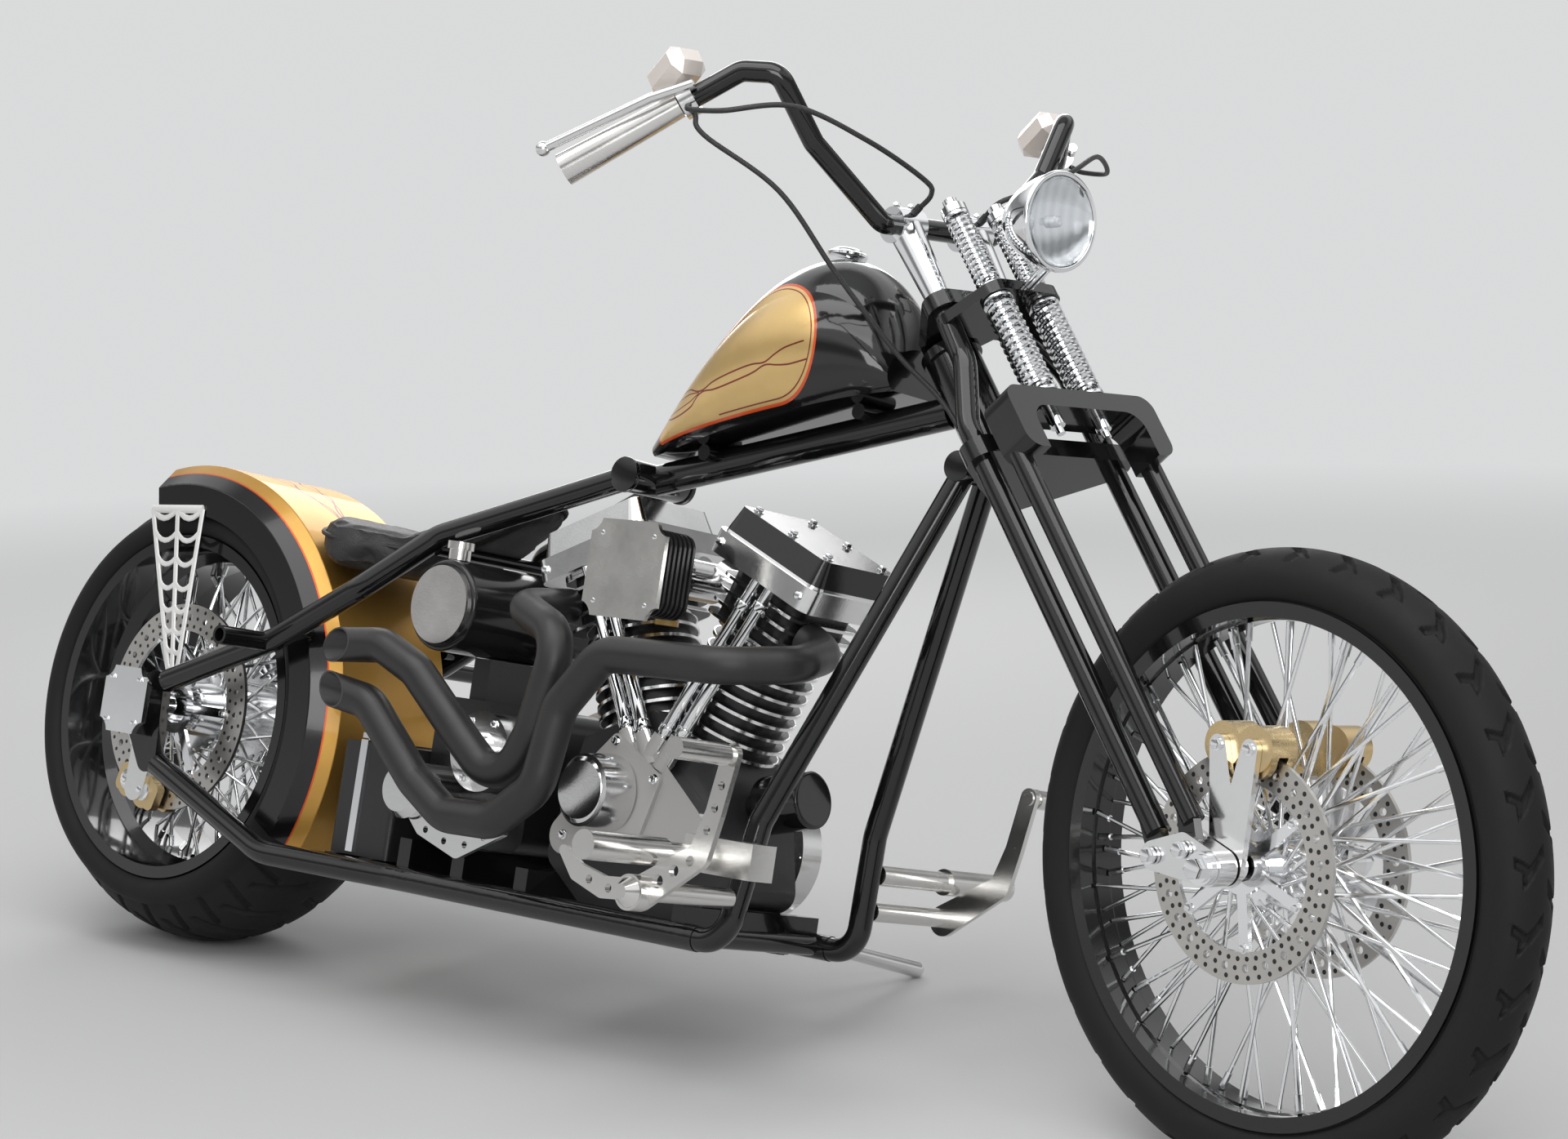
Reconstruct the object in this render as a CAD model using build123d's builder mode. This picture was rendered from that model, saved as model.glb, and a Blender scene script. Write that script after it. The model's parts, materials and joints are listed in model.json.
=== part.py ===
from build123d import *
import os
from math import asin, cos, degrees, radians, sin, sqrt

os.makedirs("parts", exist_ok=True)

# A chopper motorcycle with a rigid frame, a springer fork and a V-twin engine, parked on its side stand.
#
# Bike frame: X forward, Y to the rider's left, Z up, origin on the ground below the rear axle,
# with the machine upright and its steering straight ahead.
# Fork frame: Z up along the steering axis, X forward, origin on the axis level with the front axle.
# Wheel frames: origin at the wheel's centre, Y along its axle.
# All lengths are millimetres and all angles are degrees.

# ------------------------------------------------------------------ driving dimensions
wheelbase = 1775.0
rake = 38.0                    # steering axis from the vertical
fork_offset = 110.0            # front axle ahead of the steering axis
lean = 15.0                    # on the side stand, to the left
steer_angle = -11.0            # parked with the steering turned a little to the right

fit = 0.05                     # radial clearance of a shaft that runs in a bore
seat_gap = 0.3                 # clearance between pieces that seat on each other

# ------------------------------------------------------------------ wheels
rear_tyre_radius = 325.0
rear_tyre_half = 116.0
rear_crown_radius = 130.0
rear_crown_half = 98.0
rear_bead_radius = rear_tyre_radius - 89
rear_bead_half = 98.0
rear_rim_half = 106.0
rear_well_radius = rear_bead_radius - 22

front_axle_height = 345.0
front_tyre_radius = 340.0
front_tyre_half = 39.0
front_crown_radius = 41.0
front_crown_half = 32.0
front_bead_radius = front_tyre_radius - 66
front_bead_half = 29.0
front_rim_half = 34.0
front_well_radius = front_bead_radius - 12

lip_height = 7.0
rim_wall = 9.0
spoke_radius = 2.6
spokes_per_flange = 20
spoke_sweep = 48.0             # degrees that a spoke leads or trails on its way to the rim
spoke_end_gap = 1.2

rear_hub_radius = 38.0
rear_hub_half = 76.0
rear_flange_radius = 62.0
rear_flange_at = 52.0
rear_axle_radius = 12.5

front_hub_radius = 26.0
front_hub_half = 48.0
front_flange_radius = 42.0
front_flange_at = 34.0
front_axle_radius = 11.0

disc_thickness = 5.0
rear_disc_radius = 146.0
rear_disc_inner = 108.0
rear_disc_at = -91.0
front_disc_radius = 124.0
front_disc_inner = 90.0
front_disc_at = 62.0
disc_arms = 6
disc_hole_radius = 4.5
disc_holes = 24
carrier_thickness = 6.0

# ------------------------------------------------------------------ frame tubes
stay_radius = 16.0
stay_y = 158.0
backbone_radius = 20.0
downtube_radius = 15.0
rail_y = 125.0
rail_z = 152.0
axle_plate_thickness = 14.0
neck_radius = 33.0
neck_bottom = 594.0            # along the steering axis
neck_top = 774.0
stem_radius = 15.0

# ------------------------------------------------------------------ engine
crank_x = 890.0
crank_z = 252.0
cylinder_angle = 22.5
case_width = 150.0
barrel_start = 150.0
barrel_end = 290.0
barrel_radius = 60.0
fin_radius = 72.0
fin_count = 9
fin_thickness = 4.0
head_end = 362.0
rocker_end = 428.0
head_fin_half = 75.0
rocker_half_length = 92.0
rocker_half_width = 84.0
rod_radius = 7.5               # pushrod tubes

# ------------------------------------------------------------------ fork
rear_leg_radius = 14.0
front_leg_radius = 12.5
leg_y = 106.0
rear_leg_u = 62.0
front_leg_u = 112.0
rocker_pivot = (52.0, 50.0)    # (forward, along the axis) in the fork frame
rocker_pin = (94.0, 32.0)
rocker_width = 27.0
lug_thickness = 12.0
crown_bottom = 584.0
crown_top = 610.0
crown_u = 122.0
crown_depth = 44.0
spring_y = 38.0
spring_u = 126.0
spring_rod_radius = 5.0
lower_spring_radius = 19.5
upper_spring_radius = 16.0
perch_bottom = 752.0
perch_top = 766.0
spring_cap_top = 888.0
riser_u = 62.0
riser_y = 55.0
bar_s = 912.0                  # handlebar centre above the fork origin, at the risers
bar_radius = 12.7

headlamp_radius = 58.0
headlamp_length = 82.0
headlamp_at = (232.0, 788.0)   # lens centre (forward, along the axis) in the fork frame

# ------------------------------------------------------------------ side stand
stand_pivot = (940.0, 172.0, 150.0)
stand_foot_x = 966.0
stand_foot_y = 430.0
stand_foot_radius = 11.0

# ------------------------------------------------------------------ poses
fork_foot = Vector(wheelbase - fork_offset * cos(radians(rake)), 0,
                   front_axle_height - fork_offset * sin(radians(rake)))
fork_pose = Location(fork_foot) * Location((0, 0, 0), (0, -rake, 0)) * Location((0, 0, 0), (0, 0, steer_angle))
rear_wheel_pose = Location((0, 0, rear_tyre_radius))
front_wheel_pose = fork_pose * Location((fork_offset, 0, 0))
lean_pose = Location((0, 0, 0), (-lean, 0, 0))


def tyre_low(pose, radius, crown):
    """Height of a leaning, steered tyre's lowest point, its crown being a round arc."""
    centre = pose.position
    axle = (pose * Location((0, 1, 0))).position - centre
    return centre.Z - (radius - crown) * sqrt(1 - axle.Z ** 2) - crown


rear_low = tyre_low(lean_pose * rear_wheel_pose, rear_tyre_radius, rear_crown_radius)
front_low = tyre_low(lean_pose * front_wheel_pose, front_tyre_radius, front_crown_radius)
pitch = degrees(asin((front_low - rear_low) / wheelbase))
tilt_pose = Location((0, 0, 0), (0, pitch, 0)) * lean_pose
ground_pose = Location((0, 0, -tyre_low(tilt_pose * rear_wheel_pose, rear_tyre_radius, rear_crown_radius)))
parked_pose = ground_pose * tilt_pose

finished = []


def finish(builder, label, pose=None):
    """Label a piece and set it down where the parked machine carries it."""
    stand = parked_pose if pose is None else parked_pose * pose
    piece = builder.part.moved(stand)
    piece.label = label
    finished.append(piece)


# ------------------------------------------------------------------ shared shapes
def side(y):
    """Plane of a side view at one Y: local x forward, local y up."""
    return Plane.XZ.offset(-y)


def add_tube(points, bend, radius):
    """Add a round tube along straight runs joined by arcs of one bend radius."""
    with BuildLine() as path:
        if len(points) > 2:
            FilletPolyline(*points, radius=bend)
        else:
            Line(*points)
    with BuildSketch(Plane(origin=path.line @ 0, z_dir=path.line % 0)) as section:
        Circle(radius)
    sweep(sections=section.sketch, path=path.line)


def add_rod(start, end, radius, end_radius=None):
    """Add a round rod, or a cone, from one point to another."""
    run = Vector(*end) - Vector(*start)
    with Locations(Plane(origin=start, z_dir=run).location):
        base = (Align.CENTER, Align.CENTER, Align.MIN)
        if end_radius is None:
            Cylinder(radius, run.length, align=base)
        else:
            Cone(radius, end_radius, run.length, align=base)


def add_ball(centre, run, radius):
    """Add a ball on the end of a rod, with its poles along the rod."""
    with Locations(Plane(origin=centre, z_dir=run).location):
        Sphere(radius)


def add_plate(plane, circles, thickness, mode=Mode.ADD):
    """Add a flat plate with a hull outline round circles of (x, y, radius), centred on its plane."""
    with BuildSketch(plane) as outline:
        for x, y, radius in circles:
            with Locations((x, y)):
                Circle(radius)
        make_hull()
    extrude(to_extrude=outline.sketch, amount=thickness / 2, both=True, mode=mode)


def mirrored_y(points):
    """The same points on the machine's other side."""
    return [(x, -y, z) for x, y, z in points]


# ------------------------------------------------------------------ wheels
def make_tyre(label, pose, radius, half, crown, crown_half, bead_radius, bead_half):
    """Tyre: round crown, bulged walls and beads that sit in the rim."""
    shoulder = radius - crown + sqrt(crown ** 2 - crown_half ** 2)
    lip = bead_radius + lip_height + 1
    bulge = (lip + shoulder) / 2
    with BuildPart() as tyre:
        with BuildSketch(Plane.YZ):
            with BuildLine():
                Polyline((bead_half, lip), (bead_half, bead_radius), (-bead_half, bead_radius), (-bead_half, lip))
                ThreePointArc((-bead_half, lip), (-half, bulge), (-crown_half, shoulder))
                ThreePointArc((-crown_half, shoulder), (0, radius), (crown_half, shoulder))
                ThreePointArc((crown_half, shoulder), (half, bulge), (bead_half, lip))
            make_face()
        revolve(axis=Axis.Y)
    finish(tyre, label, pose)


def make_rim(label, pose, bead_radius, bead_half, rim_half, well_radius):
    """Rim: bead seats, turned-up lips and a dropped well."""
    seat = bead_radius - seat_gap
    lip_face = bead_half + seat_gap
    half_side = [(0, seat), (lip_face, seat), (lip_face, bead_radius + lip_height),
                 (rim_half, bead_radius + lip_height), (rim_half, seat - rim_wall),
                 (rim_half * 0.42, seat - rim_wall), (rim_half * 0.3, well_radius), (0, well_radius)]
    with BuildPart() as rim:
        with BuildSketch(Plane.YZ):
            with BuildLine():
                Polyline(*half_side)
                Polyline(*[(-y, r) for y, r in half_side])
            make_face()
        revolve(axis=Axis.Y)
    finish(rim, label, pose)


def make_hub(label, pose, hub_radius, hub_half, flange_radius, flange_at, axle_radius, well_radius):
    """Hub with two flanges, and crossed spokes out to the rim's well."""
    with BuildPart() as hub:
        with Locations(Location((0, 0, 0), (90, 0, 0))):
            Cylinder(hub_radius, 2 * hub_half)
        for flange_y in (-flange_at, flange_at):
            with Locations(Location((0, flange_y, 0), (90, 0, 0))):
                Cylinder(flange_radius, 7)
        step = 360 / spokes_per_flange
        for flange_side in (-1, 1):
            for lead, out in ((1, 3.0), (-1, -3.0)):
                places = []
                for number in range(spokes_per_flange // 2):
                    foot_angle = radians(number * 2 * step + flange_side * step / 4 + lead * step / 2)
                    head_angle = foot_angle + lead * radians(spoke_sweep)
                    foot_r = flange_radius - 5
                    foot = Vector(foot_r * cos(foot_angle), flange_side * (flange_at + out), foot_r * sin(foot_angle))
                    head_r = well_radius - spoke_end_gap
                    head = Vector(head_r * cos(head_angle), flange_side * 8 + out, head_r * sin(head_angle))
                    places.append(Plane(origin=foot, z_dir=head - foot).location)
                    length = (head - foot).length
                with Locations(*places):
                    Cylinder(spoke_radius, length, align=(Align.CENTER, Align.CENTER, Align.MIN))
        with Locations(Location((0, 0, 0), (90, 0, 0))):
            Cylinder(axle_radius + fit, 2 * hub_half + 2, mode=Mode.SUBTRACT)
    finish(hub, label, pose)


def add_disc(disc_y, radius, inner, hub_radius):
    """Add a perforated brake disc on a carrier with arms."""
    with BuildSketch(side(disc_y)) as ring:
        Circle(radius)
        Circle(inner, mode=Mode.SUBTRACT)
        with PolarLocations((radius + inner) / 2, disc_holes):
            Circle(disc_hole_radius, mode=Mode.SUBTRACT)
    extrude(to_extrude=ring.sketch, amount=disc_thickness / 2, both=True)
    with BuildSketch(side(disc_y)) as carrier:
        Circle(hub_radius + 14)
        with PolarLocations(0, disc_arms):
            with Locations((inner / 2 + 2, 0)):
                Rectangle(inner + 6, 13)
        Circle(hub_radius, mode=Mode.SUBTRACT)
    extrude(to_extrude=carrier.sketch, amount=carrier_thickness / 2, both=True)


make_tyre("rear_tyre", rear_wheel_pose, rear_tyre_radius, rear_tyre_half, rear_crown_radius,
          rear_crown_half, rear_bead_radius, rear_bead_half)
make_rim("rear_rim", rear_wheel_pose, rear_bead_radius, rear_bead_half, rear_rim_half, rear_well_radius)
make_hub("rear_hub", rear_wheel_pose, rear_hub_radius, rear_hub_half, rear_flange_radius, rear_flange_at,
         rear_axle_radius, rear_well_radius)
make_tyre("front_tyre", front_wheel_pose, front_tyre_radius, front_tyre_half, front_crown_radius,
          front_crown_half, front_bead_radius, front_bead_half)
make_rim("front_rim", front_wheel_pose, front_bead_radius, front_bead_half, front_rim_half, front_well_radius)
make_hub("front_hub", front_wheel_pose, front_hub_radius, front_hub_half, front_flange_radius, front_flange_at,
         front_axle_radius, front_well_radius)

# The rear disc bolts to the hub's right end through a boss.
with BuildPart() as rear_disc:
    add_disc(rear_disc_at, rear_disc_radius, rear_disc_inner, 24)
    boss_length = -rear_disc_at - rear_hub_half - seat_gap
    with Locations(Location((0, -rear_hub_half - seat_gap - boss_length / 2, 0), (90, 0, 0))):
        Cylinder(36, boss_length)
        Cylinder(24, boss_length, mode=Mode.SUBTRACT)
finish(rear_disc, "rear_disc", rear_wheel_pose)

with BuildPart() as front_discs:
    for disc_side in (-1, 1):
        add_disc(disc_side * front_disc_at, front_disc_radius, front_disc_inner, 16)
        boss_length = front_disc_at - front_hub_half - seat_gap
        with Locations(Location((0, disc_side * (front_disc_at - boss_length / 2), 0), (90, 0, 0))):
            Cylinder(24, boss_length)
            Cylinder(16, boss_length, mode=Mode.SUBTRACT)
finish(front_discs, "front_discs", front_wheel_pose)

# ------------------------------------------------------------------ final drive
sprocket_y = 133.0
sprocket_radius = 98.0
drive_sprocket_x = 600.0
drive_sprocket_z = 300.0
drive_sprocket_radius = 40.0
chain_height = 15.0
chain_width = 10.0
chain_clearance = 5.0

with BuildPart() as rear_sprocket:
    with BuildSketch(side(sprocket_y)):
        Circle(sprocket_radius)
        Circle(24, mode=Mode.SUBTRACT)
        with PolarLocations(62, 6):
            Circle(14, mode=Mode.SUBTRACT)
    extrude(amount=3, both=True)
    boss_length = sprocket_y - rear_hub_half - seat_gap
    with Locations(Location((0, sprocket_y - boss_length / 2, 0), (90, 0, 0))):
        Cylinder(36, boss_length)
        Cylinder(24, boss_length, mode=Mode.SUBTRACT)
finish(rear_sprocket, "rear_sprocket", rear_wheel_pose)

with BuildPart() as drive_chain:
    inner_rear = sprocket_radius + chain_clearance
    with BuildSketch(side(sprocket_y)) as loop:
        with Locations((0, rear_tyre_radius)):
            Circle(inner_rear + chain_height)
        with Locations((drive_sprocket_x, drive_sprocket_z)):
            Circle(drive_sprocket_radius + chain_height)
        make_hull()
    with BuildSketch(side(sprocket_y)) as hollow:
        with Locations((0, rear_tyre_radius)):
            Circle(inner_rear)
        with Locations((drive_sprocket_x, drive_sprocket_z)):
            Circle(drive_sprocket_radius)
        make_hull()
    extrude(to_extrude=loop.sketch, amount=chain_width / 2, both=True)
    extrude(to_extrude=hollow.sketch, amount=chain_width / 2, both=True, mode=Mode.SUBTRACT)
finish(drive_chain, "drive_chain")

# ------------------------------------------------------------------ frame
def fork_point(u, y, s):
    """Bike-frame point of a fork-frame point, with the steering straight ahead."""
    return tuple(fork_foot + Vector(u * cos(radians(rake)) - s * sin(radians(rake)), y,
                                    u * sin(radians(rake)) + s * cos(radians(rake))))


neck_plane = Plane(origin=fork_point(0, 0, neck_bottom), x_dir=(cos(radians(rake)), 0, sin(radians(rake))),
                   z_dir=(-sin(radians(rake)), 0, cos(radians(rake))))
neck_length = neck_top - neck_bottom
backbone_front = fork_point(-neck_radius + 4, 0, neck_bottom + 112)
backbone_rear = (765.0, 0.0, 706.0)
stay_bend = (488.0, 92.0, 604.0)

with BuildPart() as frame_neck:
    with BuildSketch(neck_plane):
        Circle(neck_radius)
        Circle(stem_radius + fit, mode=Mode.SUBTRACT)
    extrude(amount=neck_length)
    for ring_at in (0, neck_length - 12):
        with BuildSketch(neck_plane.offset(ring_at)):
            Circle(neck_radius + 4)
            Circle(stem_radius + fit, mode=Mode.SUBTRACT)
        extrude(amount=12)
finish(frame_neck, "frame_neck")

tank_sections = [               # (x, bottom z, top z, half width)
    (772, 736, 760, 22), (860, 752, 862, 74), (965, 779, 972, 102),
    (1060, 804, 996, 104), (1166, 832, 888, 56)]
saddle_places = (870.0, 1110.0)
saddle_radius = 10.0


def tank_bottom(x):
    """Height of the tank's underside at one X, straight between its sections."""
    for (x0, bottom0, _, _), (x1, bottom1, _, _) in zip(tank_sections, tank_sections[1:]):
        if x <= x1:
            return bottom0 + (bottom1 - bottom0) * (x - x0) / (x1 - x0)


with BuildPart() as frame_backbone:
    add_tube([backbone_front, backbone_rear], 0, backbone_radius)
    with BuildSketch(neck_plane):
        Circle(neck_radius + seat_gap)
    extrude(amount=neck_length, mode=Mode.SUBTRACT)
    with Locations(backbone_rear):
        Sphere(backbone_radius)
    # Cross bars that the tank rests on.
    for saddle_x in saddle_places:
        saddle_z = tank_bottom(saddle_x) - saddle_radius * 1.03 - 0.5
        along = (saddle_x - backbone_rear[0]) / (backbone_front[0] - backbone_rear[0])
        tube_z = backbone_rear[2] + (backbone_front[2] - backbone_rear[2]) * along
        add_rod((saddle_x, 0, tube_z), (saddle_x, 0, saddle_z), 8)
        add_rod((saddle_x, -32, saddle_z), (saddle_x, 32, saddle_z), saddle_radius)
finish(frame_backbone, "frame_backbone")

upper_lug = (34.0, rear_tyre_radius + 27, 20.0)       # (x, z, radius) of the axle plate's corners
lower_lug = (40.0, rear_tyre_radius - 75, 20.0)
upper_bend = (262.0, 436.0)
lower_bend = (300.0, rail_z)


def lug_edge(lug, towards):
    """Point just off a lug's rim, on the way to a tube's first bend."""
    run = Vector(towards[0] - lug[0], towards[1] - lug[1]).normalized()
    return lug[0] + run.X * (lug[2] + seat_gap), lug[1] + run.Y * (lug[2] + seat_gap)


fender_inner = rear_tyre_radius + 17
fender_skin = 3.0
fender_half = 122.0
fender_skirt = rear_tyre_radius - 53
fender_from = -29.0            # degrees round the rear axle, from straight ahead
fender_to = 104.0
passenger_peg = (250.0, 431.0)
fender_mount = (292.0, 454.0)  # where a stub on each upper stay meets the fender's side

upper_start = lug_edge(upper_lug, upper_bend)
lower_start = lug_edge(lower_lug, lower_bend)

with BuildPart() as frame_upper_stays:
    for stay_side in (-1, 1):
        add_tube([(upper_start[0], stay_side * stay_y, upper_start[1]),
                  (upper_bend[0], stay_side * stay_y, upper_bend[1]),
                  (409.0, stay_side * (stay_y - 8), 520.0), (488.0, stay_side * 100.0, 600.0),
                  (backbone_rear[0] - 6, stay_side * 38.0, backbone_rear[2])], 45, stay_radius)
        add_rod((fender_mount[0], stay_side * (fender_half + fender_skin + seat_gap), fender_mount[1]),
                (fender_mount[0], stay_side * (stay_y - 6), fender_mount[1]), 9)
        # The plate that holds the axle, and a short open tube for a passenger's peg.
        add_plate(side(stay_side * stay_y), [(0, rear_tyre_radius, 30), upper_lug, lower_lug], axle_plate_thickness)
        with Locations(Location((0, stay_side * stay_y, rear_tyre_radius), (90, 0, 0))):
            Cylinder(rear_axle_radius + fit, axle_plate_thickness + 2, mode=Mode.SUBTRACT)
        add_rod((passenger_peg[0], stay_side * stay_y, passenger_peg[1]),
                (passenger_peg[0], stay_side * (stay_y + 86), passenger_peg[1]), 13)
        with Locations(Location((passenger_peg[0], stay_side * (stay_y + 86), passenger_peg[1]), (90, 0, 0))):
            Cylinder(9, 60, mode=Mode.SUBTRACT)
    add_rod((488.0, -100.0, 584.0), (488.0, 100.0, 584.0), 9)
finish(frame_upper_stays, "frame_upper_stays")


rail_front = 1062.0
battery_z = rail_z + stay_radius + 1          # undersides of what stands on the rails' cross pads
transmission_z = 205.0
rail_pads = [(400.0, battery_z), (468.0, battery_z), (540.0, transmission_z), (640.0, transmission_z),
             (755.0, 195.4), (1025.0, 186.7)]      # (x, underside of what stands on it)
with BuildPart() as frame_lower_rails:
    for rail_side in (-1, 1):
        add_tube([(lower_start[0], rail_side * stay_y, lower_start[1]),
                  (lower_bend[0], rail_side * stay_y, lower_bend[1]),
                  (520.0, rail_side * rail_y, rail_z), (rail_front, rail_side * rail_y, rail_z)], 90, stay_radius)
    add_rod((1040.0, -rail_y, rail_z), (1040.0, rail_y, rail_z), 12)
    for pad_x, pad_top in rail_pads:
        pad_bottom = rail_z - 10
        with Locations((pad_x, 0, (pad_bottom + pad_top - seat_gap) / 2)):
            Box(22, 2 * rail_y, pad_top - seat_gap - pad_bottom)
finish(frame_lower_rails, "frame_lower_rails")

downtube_top = fork_point(-neck_radius + 2, 0, neck_bottom + 26)
with BuildPart() as frame_downtubes:
    for tube_side in (-1, 1):
        add_tube([(rail_front + seat_gap, tube_side * rail_y, rail_z), (1102.0, tube_side * rail_y, rail_z),
                  (1118.0, tube_side * 110.0, 300.0),
                  (downtube_top[0] - 4, tube_side * 22.0, downtube_top[2])], 38, downtube_radius)
    with BuildSketch(neck_plane.offset(-20)):
        Circle(neck_radius + 4 + seat_gap)
    extrude(amount=neck_length, mode=Mode.SUBTRACT)
finish(frame_downtubes, "frame_downtubes")

with BuildPart() as rear_axle:
    with Locations(Location((0, 0, rear_tyre_radius), (90, 0, 0))):
        Cylinder(rear_axle_radius, 2 * (stay_y + 12))
    for cap_side in (-1, 1):
        with Locations(Location((0, cap_side * (stay_y + axle_plate_thickness / 2 + 7 + seat_gap), rear_tyre_radius),
                                (90, 0, 0))):
            Cylinder(24, 14)
        with BuildSketch(side(cap_side * (stay_y + axle_plate_thickness / 2 + 14 + seat_gap + 4))) as cap:
            with Locations((0, rear_tyre_radius)):
                RectangleRounded(92, 92, 6)
                with GridLocations(100, 100, 2, 2):
                    Circle(22, mode=Mode.SUBTRACT)
        extrude(to_extrude=cap.sketch, amount=4, both=True)
        spacer_in = 110.0
        spacer_length = stay_y - axle_plate_thickness / 2 - spacer_in - seat_gap
        with Locations(Location((0, cap_side * (spacer_in + spacer_length / 2), rear_tyre_radius), (90, 0, 0))):
            Cylinder(19, spacer_length)
finish(rear_axle, "rear_axle")

# ------------------------------------------------------------------ engine
crank = Vector(crank_x, 0, crank_z)


def cylinder_plane(angle, distance):
    """Plane across one cylinder's axis, leaning forward from the vertical by an angle."""
    direction = Vector(sin(radians(angle)), 0, cos(radians(angle)))
    return Plane(origin=crank + direction * distance, x_dir=(cos(radians(angle)), 0, -sin(radians(angle))),
                 z_dir=direction)


with BuildPart() as engine_case:
    with BuildSketch(Plane.XZ):
        with Locations((crank_x, crank_z)):
            Circle(118)
        for angle in (-cylinder_angle, cylinder_angle):
            top = cylinder_plane(angle, barrel_start - 12).origin
            with Locations((top.X, top.Z)):
                Circle(52)
        with Locations((crank_x - 120, crank_z - 30), (crank_x + 120, crank_z - 40)):
            Circle(24)
        make_hull()
    extrude(amount=case_width / 2, both=True)
    for angle in (-cylinder_angle, cylinder_angle):
        with BuildSketch(cylinder_plane(angle, barrel_start - seat_gap)):
            Rectangle(400, 400)
        extrude(amount=120, mode=Mode.SUBTRACT)
finish(engine_case, "engine_case")

with BuildPart() as cylinders:
    for angle in (-cylinder_angle, cylinder_angle):
        fin_pitch = (barrel_end - barrel_start - fin_thickness) / (fin_count - 1)
        with BuildSketch(cylinder_plane(angle, barrel_start)) as barrel:
            Circle(barrel_radius)
        extrude(to_extrude=barrel.sketch, amount=barrel_end - barrel_start)
        for fin in range(fin_count):
            with BuildSketch(cylinder_plane(angle, barrel_start + fin * fin_pitch)) as ring:
                Circle(fin_radius)
            extrude(to_extrude=ring.sketch, amount=fin_thickness)
    # The barrels' inner halves meet between the cylinders, so a wedge keeps them apart.
    with Locations((crank_x, 0, crank_z + 100)):
        Box(6, 200, 420, mode=Mode.SUBTRACT)
finish(cylinders, "cylinders")

with BuildPart() as cylinder_heads:
    for angle in (-cylinder_angle, cylinder_angle):
        head_start = barrel_end + seat_gap
        fin_pitch = (head_end - head_start - fin_thickness) / 4
        with BuildSketch(cylinder_plane(angle, head_start)) as body:
            RectangleRounded(124, 112, 20)
        extrude(to_extrude=body.sketch, amount=head_end - head_start)
        for fin in range(5):
            with BuildSketch(cylinder_plane(angle, head_start + fin * fin_pitch)) as plate:
                RectangleRounded(2 * head_fin_half, 130, 26)
            extrude(to_extrude=plate.sketch, amount=fin_thickness)
finish(cylinder_heads, "cylinder_heads")

with BuildPart() as rocker_boxes:
    for angle in (-cylinder_angle, cylinder_angle):
        with BuildSketch(cylinder_plane(angle, head_end + seat_gap)) as base:
            RectangleRounded(2 * rocker_half_length, 2 * rocker_half_width, 18)
        extrude(to_extrude=base.sketch, amount=30)
        with BuildSketch(cylinder_plane(angle, head_end + 30)) as cover:
            RectangleRounded(2 * rocker_half_length - 10, 2 * rocker_half_width - 10, 18)
        extrude(to_extrude=cover.sketch, amount=rocker_end - head_end - 30, taper=12)
finish(rocker_boxes, "rocker_boxes")

rod_y = 76.0
lifter_height = 46.0
pushrods = []                  # (cylinder angle, lower end, upper end past the head's top)
for angle, foot_x in ((-cylinder_angle, -24.0), (cylinder_angle, 36.0)):
    for shift in (0.0, 28.0):
        foot = Vector(crank_x + foot_x + shift, -90, crank_z + 132)
        top = cylinder_plane(angle, head_end - 4).origin
        head = Vector(top.X + shift - 6, -rod_y, top.Z - 10)
        pushrods.append((angle, foot, head + (head - foot).normalized() * 30))

cam_face = -case_width / 2 - seat_gap
cam_depth = 24.0
with BuildPart() as cam_cover:
    with BuildSketch(side(cam_face)):
        with Locations((crank_x + 6, crank_z + 62)):
            Circle(58)
        with Locations((crank_x - 98, crank_z - 8)):
            Circle(24)
        with Locations((crank_x + 92, crank_z + 20)):
            Circle(38)
        make_hull()
    extrude(amount=cam_depth)
    add_plate(side(cam_face - cam_depth - 3), [(crank_x - 28, crank_z + 52, 54), (crank_x + 46, crank_z + 78, 9),
                                               (crank_x + 20, crank_z - 8, 9), (crank_x - 26, crank_z + 118, 9)], 6)
    add_rod((crank_x - 28, cam_face - cam_depth - 3, crank_z + 52), (crank_x - 33, -146, crank_z + 52), 50, 45)
    add_rod((crank_x - 33, -145, crank_z + 52), (crank_x - 33, -151, crank_z + 52), 42, 36)
    for angle, foot, head in pushrods:
        rod_run = (head - foot).normalized()
        add_rod(foot - rod_run * lifter_height, foot - rod_run * seat_gap, 12)
finish(cam_cover, "cam_cover")

with BuildPart() as pushrod_tubes:
    for angle, foot, head in pushrods:
        add_rod(foot, head, rod_radius)
    for angle in (-cylinder_angle, cylinder_angle):
        with BuildSketch(cylinder_plane(angle, head_end)) as above:
            Rectangle(190, 400)
        extrude(to_extrude=above.sketch, amount=60, mode=Mode.SUBTRACT)
finish(pushrod_tubes, "pushrod_tubes")

intake_z = 582.0
port_distance = 326.0          # the ports, along the cylinders' axes
with BuildPart() as intake:
    for port_side in (-1, 1):
        port = cylinder_plane(port_side * cylinder_angle, port_distance)
        flange = port.origin - port.x_dir * port_side * (head_fin_half + seat_gap)
        add_rod(flange, flange - port.x_dir * port_side * 44, 18)
    add_rod((crank_x, 0, intake_z), (crank_x, -92, intake_z), 26)
    add_rod((crank_x, -70, intake_z), (crank_x, -118, intake_z), 32)
    add_rod((crank_x - 12, -62, intake_z - 20), (crank_x - 12, -62, intake_z - 62), 15)
finish(intake, "intake")

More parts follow.
